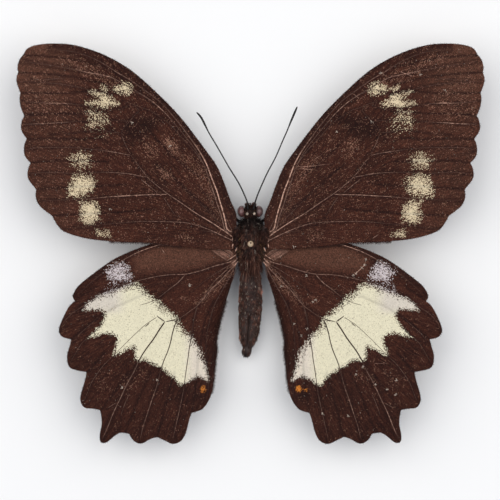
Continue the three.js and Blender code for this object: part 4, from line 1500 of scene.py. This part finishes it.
for side, sign in SIDES.items():
    pads = on_side(gather([hinge_pad(*plate) for plate in HINGE_PLATES]), side)
    bmesh.ops.translate(pads, verts=pads.verts, vec=Vector((HINGE_OUT * sign, 0, HINGE_UP)))
    hinges = piece(f"wing_hinges_{side}", pads, [vein.material])
    set_values(hinges.data, "tone", np.full(len(hinges.data.vertices), HINGE_TONE))

# %% [markdown]
# ## Feelers
# Each feeler is a chain of short segments that swells into a slim club at its end. The sweep's
# radius dips a little at every joint, which is what makes the feeler look jointed and not like
# wire. The two feelers bend each in their own way.

# %% Horn material
HORN_BLACKS = linear(13, 12, 13), linear(34, 27, 25)
horn = Finish("black_horn", Roughness=0.38, Specular_IOR_Level=0.2)
horn.wire("Base Color", horn.mix(horn.noise(1300, detail=4.0), *HORN_BLACKS))
horn.wire("Roughness", horn.remap(horn.noise(2600), 0.3, 0.7, 0.28, 0.55))
horn.bump(horn.noise(4200), 0.35, 0.00003)

# %% Feelers
FEELERS = {
    "right": [(0.7, 8.3, 8.0), (0.75, 8.4, 8.6), (1.2, 10.2, 8.9), (2.1, 12.6, 9.2),
              (3.9, 16.6, 9.6), (5.9, 20.4, 9.9), (7.5, 24.1, 10.1), (8.6, 26.6, 10.2),
              (9.7, 29.3, 10.2), (11, 32.3, 10.1)],
    "left": [(-0.6, 8.3, 8.0), (-0.65, 8.4, 8.6), (-0.9, 10.2, 8.9), (-2.6, 14, 9.3),
             (-5.1, 18.1, 9.6), (-7.8, 22.8, 9.9), (-9.7, 26, 10.1), (-10.7, 28, 10.2),
             (-11.6, 29.7, 10.2), (-12.7, 31, 10.1)],
}
FEELER_SEGMENTS = 52
JOINT_DEPTH = 0.16
FEELER_GIRTH = [(0, 0.3), (0.02, 0.32), (0.035, 0.19), (0.5, 0.16), (0.8, 0.17), (0.88, 0.26),
                (0.95, 0.27), (0.985, 0.21), (1, 0.08)]

for side, line in FEELERS.items():
    course = smooth_course(line, 0.12)
    part = along(course)
    joints = 1 - JOINT_DEPTH * np.cos(math.pi * FEELER_SEGMENTS * part) ** 8
    chain = sweep(course, read_off(FEELER_GIRTH, part) * joints, sides=10)
    made = piece(f"feeler_{side}", chain, [horn.material], [f"antenna_{side}"])
    print(made.name, "points", len(made.data.vertices))

# %% [markdown]
# ## Tongue and palps
# The tongue is rolled up like a watch spring below the face, and two hairy palps stand in front of
# it. A spiral is a course like any other, so the sweep serves again; fine rings along it come from
# the radius.

# %% Tongue
TONGUE = {"tube": 0.15, "inner": 0.35, "pitch": 0.42, "turns": 2, "y": 8.5, "z": 3.3}
COIL_POINTS = 150
TONGUE_TAPER = [(0, 0.5), (0.1, 0.85), (1, 1.1)]
turned = np.linspace(0, 2 * math.pi * TONGUE["turns"], COIL_POINTS)
rolled = TONGUE["inner"] + TONGUE["pitch"] * turned / (2 * math.pi)
coil = np.column_stack([np.zeros(COIL_POINTS), TONGUE["y"] + rolled * np.cos(turned),
                        TONGUE["z"] + rolled * np.sin(turned)])
lead = smooth_course([tuple(coil[-1]), (0, 9.68, 3.9), (0, 9.4, 4.6), (0, 8.7, 5.3)], 0.08)[1:]
course = np.vstack([coil, lead])
ribbed = TONGUE["tube"] * (1 - 0.09 * np.cos(np.arange(len(course)) * 1.6) ** 2)
ribbed = ribbed * read_off(TONGUE_TAPER, along(course))
tongue = sweep(course, ribbed, sides=12, up=(1, 0, 0))
piece("tongue", tongue, [horn.material], ["proboscis"])

# %% Palps
PALP_LINE = [(0.7, 8.3, 4.9), (0.75, 8.75, 5.2), (0.8, 9.2, 6.0), (0.8, 9.3, 6.7), (0.78, 9.2, 7.1)]
PALP_GIRTH = [(0, 0.22), (0.2, 0.32), (0.6, 0.36), (0.85, 0.26), (1, 0.12)]


for side, sign in SIDES.items():
    course = smooth_course(PALP_LINE, 0.1)
    core = sweep(course, read_off(PALP_GIRTH, along(course)), sides=16, up=(1, 0, 0))
    core = on_side(core, side)
    palp = piece(f"palp_core_{side}", core, [skin.material], [f"palp_{side}"])
    coat(f"palp_fur_{side}", palp, count=900, seed=20 + sign, reach=(0.2, 0.45), radius=0.03,
         lean=(0, 0.3, 0.5), colour=mixed(DARK_HAIR, (0.5, BROWN_HAIR)))

# %% [markdown]
# ## Legs
# Six thin jointed legs are folded under the body: a thick thigh, a slim shin with two spurs, and a
# foot of five beads that ends in a pair of claws. Each section of a leg is swept with its own table
# of radii, and short bristles are laid on it as the fur was.

# %% Legs
LEGS = {
    "front": [(1.3, 4.0, 3.0), (3.6, 6.2, 4.2), (4.5, 4.2, 1.3), (5.2, 7.4, 0.21)],
    "middle": [(1.7, 0.6, 2.5), (5.2, 1.4, 4.3), (6.4, -0.8, 1.1), (7.5, -3.2, 0.21)],
    "hind": [(1.6, -2.8, 2.6), (4.4, -4.6, 4.1), (5.4, -7.8, 1.1), (6.4, -10.4, 0.21)],
}
THIGH = [(0, 0.3), (0.15, 0.4), (0.6, 0.38), (0.9, 0.27), (1, 0.3)]
SHIN = [(0, 0.3), (0.1, 0.24), (0.8, 0.22), (0.95, 0.27), (1, 0.22)]
FOOT = [(0, 0.19), (1, 0.13)]
FOOT_BEADS = 5
LIMB_STEPS = 34


def limb(start, end, girth, beads=0, sag=0.0):
    """One section of a leg, slightly bowed."""
    start, end = np.array(start), np.array(end)
    t = np.linspace(0, 1, LIMB_STEPS)[:, None]
    course = start + (end - start) * t + np.array([0, 0, sag]) * np.sin(math.pi * t)
    radii = read_off(girth, t[:, 0])
    if beads:
        radii = radii * (0.68 + 0.4 * np.abs(np.sin(math.pi * beads * t[:, 0])) ** 0.5)
    return sweep(course, radii, sides=12, up=(0.1, 0.2, 1))


def claw(end, way, spread):
    """A small hook that leaves the end of a section and turns down."""
    tip, way = np.array(end), np.array(way)
    middle = tip + way * 0.25 + (spread * 0.12, 0, 0.08)
    course = smooth_course([tip, middle, tip + way * 0.5 + (spread * 0.16, 0, -0.06)], 0.06)
    return sweep(course, np.linspace(0.06, 0.015, len(course)), sides=8)


def bristle_colour(at, rng):
    return np.tile(DARK_HAIR, (len(at), 1))


def leg(name, side):
    """A leg from thigh to claws, and its bristles."""
    hip, knee, ankle, toe = (np.array(joint) for joint in LEGS[name])
    root = hip + (hip - knee) * 0.12 + (0, 0, 0.5)
    thigh, shin = limb(root, knee, THIGH, sag=0.15), limb(knee, ankle, SHIN, sag=0.1)
    parts = [thigh, shin, limb(ankle, toe, FOOT, FOOT_BEADS, sag=-0.05)]
    parts += [claw(toe, unit(toe - ankle) * (1, 1, 0.2), spread) for spread in (-1, 1)]
    down = unit(ankle - knee)
    parts += [claw(ankle, down + (spread * 0.5, 0, 0.2), spread) for spread in (-1, 1)]
    whole = on_side(gather(parts), side)
    made = piece(f"leg_{name}_limb_{side}", whole, [horn.material], [f"leg_{name}_{side}"])
    coat(f"leg_{name}_bristles_{side}", made, count=420, seed=30 + len(name) + SIDES[side],
         reach=(0.12, 0.3), radius=0.016, lean=(0, 0, -0.25), colour=bristle_colour)


for name in LEGS:
    for side in SIDES:
        leg(name, side)

# %% [markdown]
# ## Insect pin
# A steel wire passes through the thorax and carries a small moulded head, cream and slightly
# glossy, with a dimple left by the mould a little off its middle. The wire is swept. The head is
# built of stacked rings, from its collar up and down again into the dimple, and its upper rings
# slip sideways to where the dimple lies.

# %% Pin wire
STEEL_GREYS = linear(150, 152, 156), linear(188, 190, 194)

steel = Finish("pin_wire", Metallic=1.0, Roughness=0.28)
steel.wire("Base Color", steel.mix(steel.noise(600), *STEEL_GREYS))
drawn = steel.node("Mapping", {"Vector": steel.spots(), "Scale": (1, 1, 0.03)})
steel.wire("Roughness", steel.remap(steel.noise(9000, drawn), 0.3, 0.7, 0.22, 0.38))
WIRE = [(0.0, 0.24), (0.06, 0.28), (15.25, 0.28)]
wire_course = np.array([(0, 0, z) for z, _ in WIRE])
wire = sweep(wire_course, [r for _, r in WIRE], sides=28, up=(0, 1, 0))
piece("pin_wire", wire, [steel.material], ["pin_shaft"])
print("wire radius, mm:", WIRE[-1][1])

# %% Pin head
PIN_HEAD_PAINTED_SHADING = linear(128, 92, 66), linear(204, 178, 146)
HEAD_STAIN = linear(170, 138, 108)

enamel = Finish("pin_enamel", Roughness=0.42, Coat_Weight=0.2, Coat_Roughness=0.25,
                Subsurface_Weight=0.08, Subsurface_Scale=0.0006)
# painted shade and light: the head's colour runs from dark at its lower rim to light on its top
enamel_height = enamel.node("SeparateXYZ", {0: enamel.spots()}, 2)
enamel_painted_shading = enamel.mix(enamel.remap(enamel_height, 0.0161, 0.0169), *PIN_HEAD_PAINTED_SHADING)
stains = enamel.remap(enamel.noise(1500, detail=4.0), 0.35, 0.65, 0.0, 0.4)
enamel.wire("Base Color", enamel.mix(stains, enamel_painted_shading, HEAD_STAIN))
enamel.bump(enamel.noise(2600), 0.25, 0.00004)
HEAD_OUTLINE = [(15.1, 0.1), (15.12, 0.34), (15.3, 0.38), (15.42, 0.36), (15.5, 0.44), (15.62, 0.6),
                (15.85, 0.74), (16.1, 0.8), (16.25, 0.81), (16.42, 0.79), (16.65, 0.69),
                (16.84, 0.53), (16.94, 0.38), (16.97, 0.3), (16.94, 0.25), (16.84, 0.23),
                (16.8, 0.02)]
HEAD_SHRINK = 0.87
DIMPLE_X, DIMPLE_Y = 0.06, 0.22
RISING_RINGS = 13
slips = [float(blend_in(16.8, 16.94, z)) if i < RISING_RINGS else 1
         for i, (z, _) in enumerate(HEAD_OUTLINE)]
head_course = np.array([(DIMPLE_X * s, DIMPLE_Y * s, z) for s, (z, _) in zip(slips, HEAD_OUTLINE)])


def upright(course, radii, sides):
    """A turned piece: rings stacked along Z, which may slip sideways."""
    bm = bmesh.new()
    ring = bmesh.ops.create_circle(bm, segments=sides, radius=1)["verts"]
    edges, ends, before = bm.edges[:], [], (0, 0, 0)
    for index, (centre, radius) in enumerate(zip(course, radii)):
        if index:
            ring, edges = next_ring(bm, edges)
        for v in ring:
            way = Vector((v.co.x - before[0], v.co.y - before[1], 0)).normalized()
            v.co = Vector(centre) + way * radius
        ends.append((ring, centre))
        before = centre
    return close_ends(bm, ends[0], ends[-1])


STUB = [(16.7, 0.17), (16.86, 0.17), (16.88, 0.1)]
stub_course = np.array([(DIMPLE_X, DIMPLE_Y, z) for z, _ in STUB])
stub = sweep(stub_course, [r for _, r in STUB], sides=16, up=(0, 1, 0))
piece("pin_wire_end", stub, [skin.material])
moulded = upright(head_course, [r * HEAD_SHRINK for _, r in HEAD_OUTLINE], sides=40)
piece("pin_ball", moulded, [enamel.material], ["pin_head"])
print("head rings:", len(HEAD_OUTLINE))

# %% [markdown]
# ## Loose scales
# An old specimen carries stray scales and crumbs of dust that catch the light. Each is one short
# hair lying on the membrane: a few tufts are put where the specimen shows them, and the rest are
# strewn at random.

# %% Strew loose scales
FLECKS = {
    ("front", "right"): [(28.4, 28.8), (20.2, 26.4), (10.3, -0.6), (39.9, 39.6), (45.6, 36),
                         (30.5, 40.1)],
    ("front", "left"): [(27.9, 28.4), (18.9, 23), (33, 8.2)],
    ("back", "right"): [
        (32.1, -34.2), (34.1, -35.4), (34.3, -32), (29.4, -33.1), (24.9, -30.7), (26.4, -28.8),
        (16.9, -40), (23, -40.4), (24.2, -7.5), (24.8, -6.9), (26.2, -5.6), (26.8, -4.9),
        (27.2, -3.6), (7.3, -10), (13.2, -7.4), (10.3, -18.7), (13.4, -19.9), (12, -21.5),
        (14.7, -13.6), (15.3, -13.2)],
    ("back", "left"): [(22, -32), (30.2, -33.8), (14.4, -9.8)],
}
STREWN = 90
IN_A_TUFT = 8
SCALE_LIFT = 0.1


def loose_scales(pair, side, seed):
    """A wing's stray scales as one piece."""
    rng = chance(seed)
    shape = places(MEMBRANES[pair, side].data)
    strewn = shape[rng.choice(len(shape), STREWN)][:, :2] * (SIDES[side], 1)
    chosen = np.repeat(np.array(FLECKS[pair, side]), IN_A_TUFT, axis=0)
    flat = np.vstack([chosen + rng.normal(0, 0.13, chosen.shape), strewn])
    x, y = flat[:, 0], flat[:, 1]
    at = np.column_stack([x * SIDES[side], y, wing_height(pair, x, y) + SCALE_LIFT])
    ways = rng.normal(0, 1, at.shape) * (1, 1, 0.12)
    bright = np.concatenate([rng.uniform(0.75, 1.1, len(chosen)), rng.uniform(0.15, 0.6, STREWN)])
    lengths = rng.uniform(0.16, 0.4, len(at))
    colours = PALE_HAIR * bright[:, None] * 1.8
    hairs(f"loose_scales_{pair}_{side}", at, ways, lengths, radius=0.07, bends=ways * 0,
          colours=colours)


for seed, (pair, side) in enumerate(MEMBRANES):
    loose_scales(pair, side, 60 + seed)

# %% [markdown]
# ## Fringes
# Hair-like scales stand out from the wings' edges: a very short fringe all round, and longer hair
# along the trailing edge of the front wing and the inner edge of the back wing. The sheet itself
# says where the short ones go: every boundary edge gets its share, pointing away from the wing. The
# longer ones follow a line and stray to the inside of the edge by up to half a millimetre.

# %% Fringe hairs
FRINGE_PER_MM = 7
LONG_FRINGES = {
    "front": (1800, (0.3, 0.8), (0.25, -1.0, 0.0), [
        (16, -0.7), (19, -0.2), (23.5, 0.3), (30.5, 0.5), (33, 0.6)]),
    "back": (2200, (0.3, 0.85), (-0.8, -0.75, 0.0), [
        (9.2, -35), (8.7, -32.2), (8.4, -28.6), (8, -25.1), (8.1, -22.8), (7.1, -18),
        (5.8, -13.3)]),
}
FRINGE_BROWN = np.array(linear(70, 44, 38))


def edge_roots(made, rng):
    """Places and outward ways along the open edge of a sheet, in mm."""
    bm = bmesh.new()
    bm.from_mesh(made.data)
    at, ways = [], []
    for e in bm.edges:
        if e.is_boundary:
            start, end = (np.array(v.co) / MM for v in e.verts)
            outward = (start + end) / 2 - np.array(e.link_faces[0].calc_center_median()) / MM
            across = np.array([end[1] - start[1], start[0] - end[0], 0])
            across = across * np.sign(across @ outward)
            for _ in range(rng.poisson(np.linalg.norm(end - start) * FRINGE_PER_MM)):
                at.append(start + (end - start) * rng.random())
                ways.append(across)
    bm.free()
    return np.array(at), unit(np.array(ways))


def fringe(pair, side, seed):
    """A wing's short and long edge hairs as one piece."""
    rng = chance(seed)
    at, ways = edge_roots(MEMBRANES[pair, side], rng)
    lengths = rng.uniform(0.12, 0.32, len(at))
    count, reach, way, line = LONG_FRINGES[pair]
    course = smooth_course(line, 0.2)
    steps = np.arange(len(course))
    t = rng.random(count) ** 0.9 * (len(course) - 1)
    x = np.interp(t, steps, course[:, 0]) + rng.uniform(-0.1, 0.5, count) * (pair == "back")
    y = np.interp(t, steps, course[:, 1]) + rng.uniform(0, 0.5, count) * (pair == "front")
    extra = np.column_stack([x * SIDES[side], y, wing_height(pair, x, y)])
    extra_ways = np.tile(np.array(way) * (SIDES[side], 1, 1), (count, 1))
    at, ways = np.vstack([at, extra]), np.vstack([ways, extra_ways])
    lengths = np.concatenate([lengths, rng.uniform(*reach, count)])
    ways = unit(ways) + rng.normal(0, 0.25, ways.shape) * (1, 1, 0.5)
    colours = FRINGE_BROWN * rng.uniform(0.5, 1.5, (len(at), 1))
    hairs(f"fringe_{pair}_{side}", at, ways, lengths, radius=0.018, bends=ways * 0.05,
          colours=colours)


for seed, (pair, side) in enumerate(MEMBRANES):
    fringe(pair, side, 40 + seed)
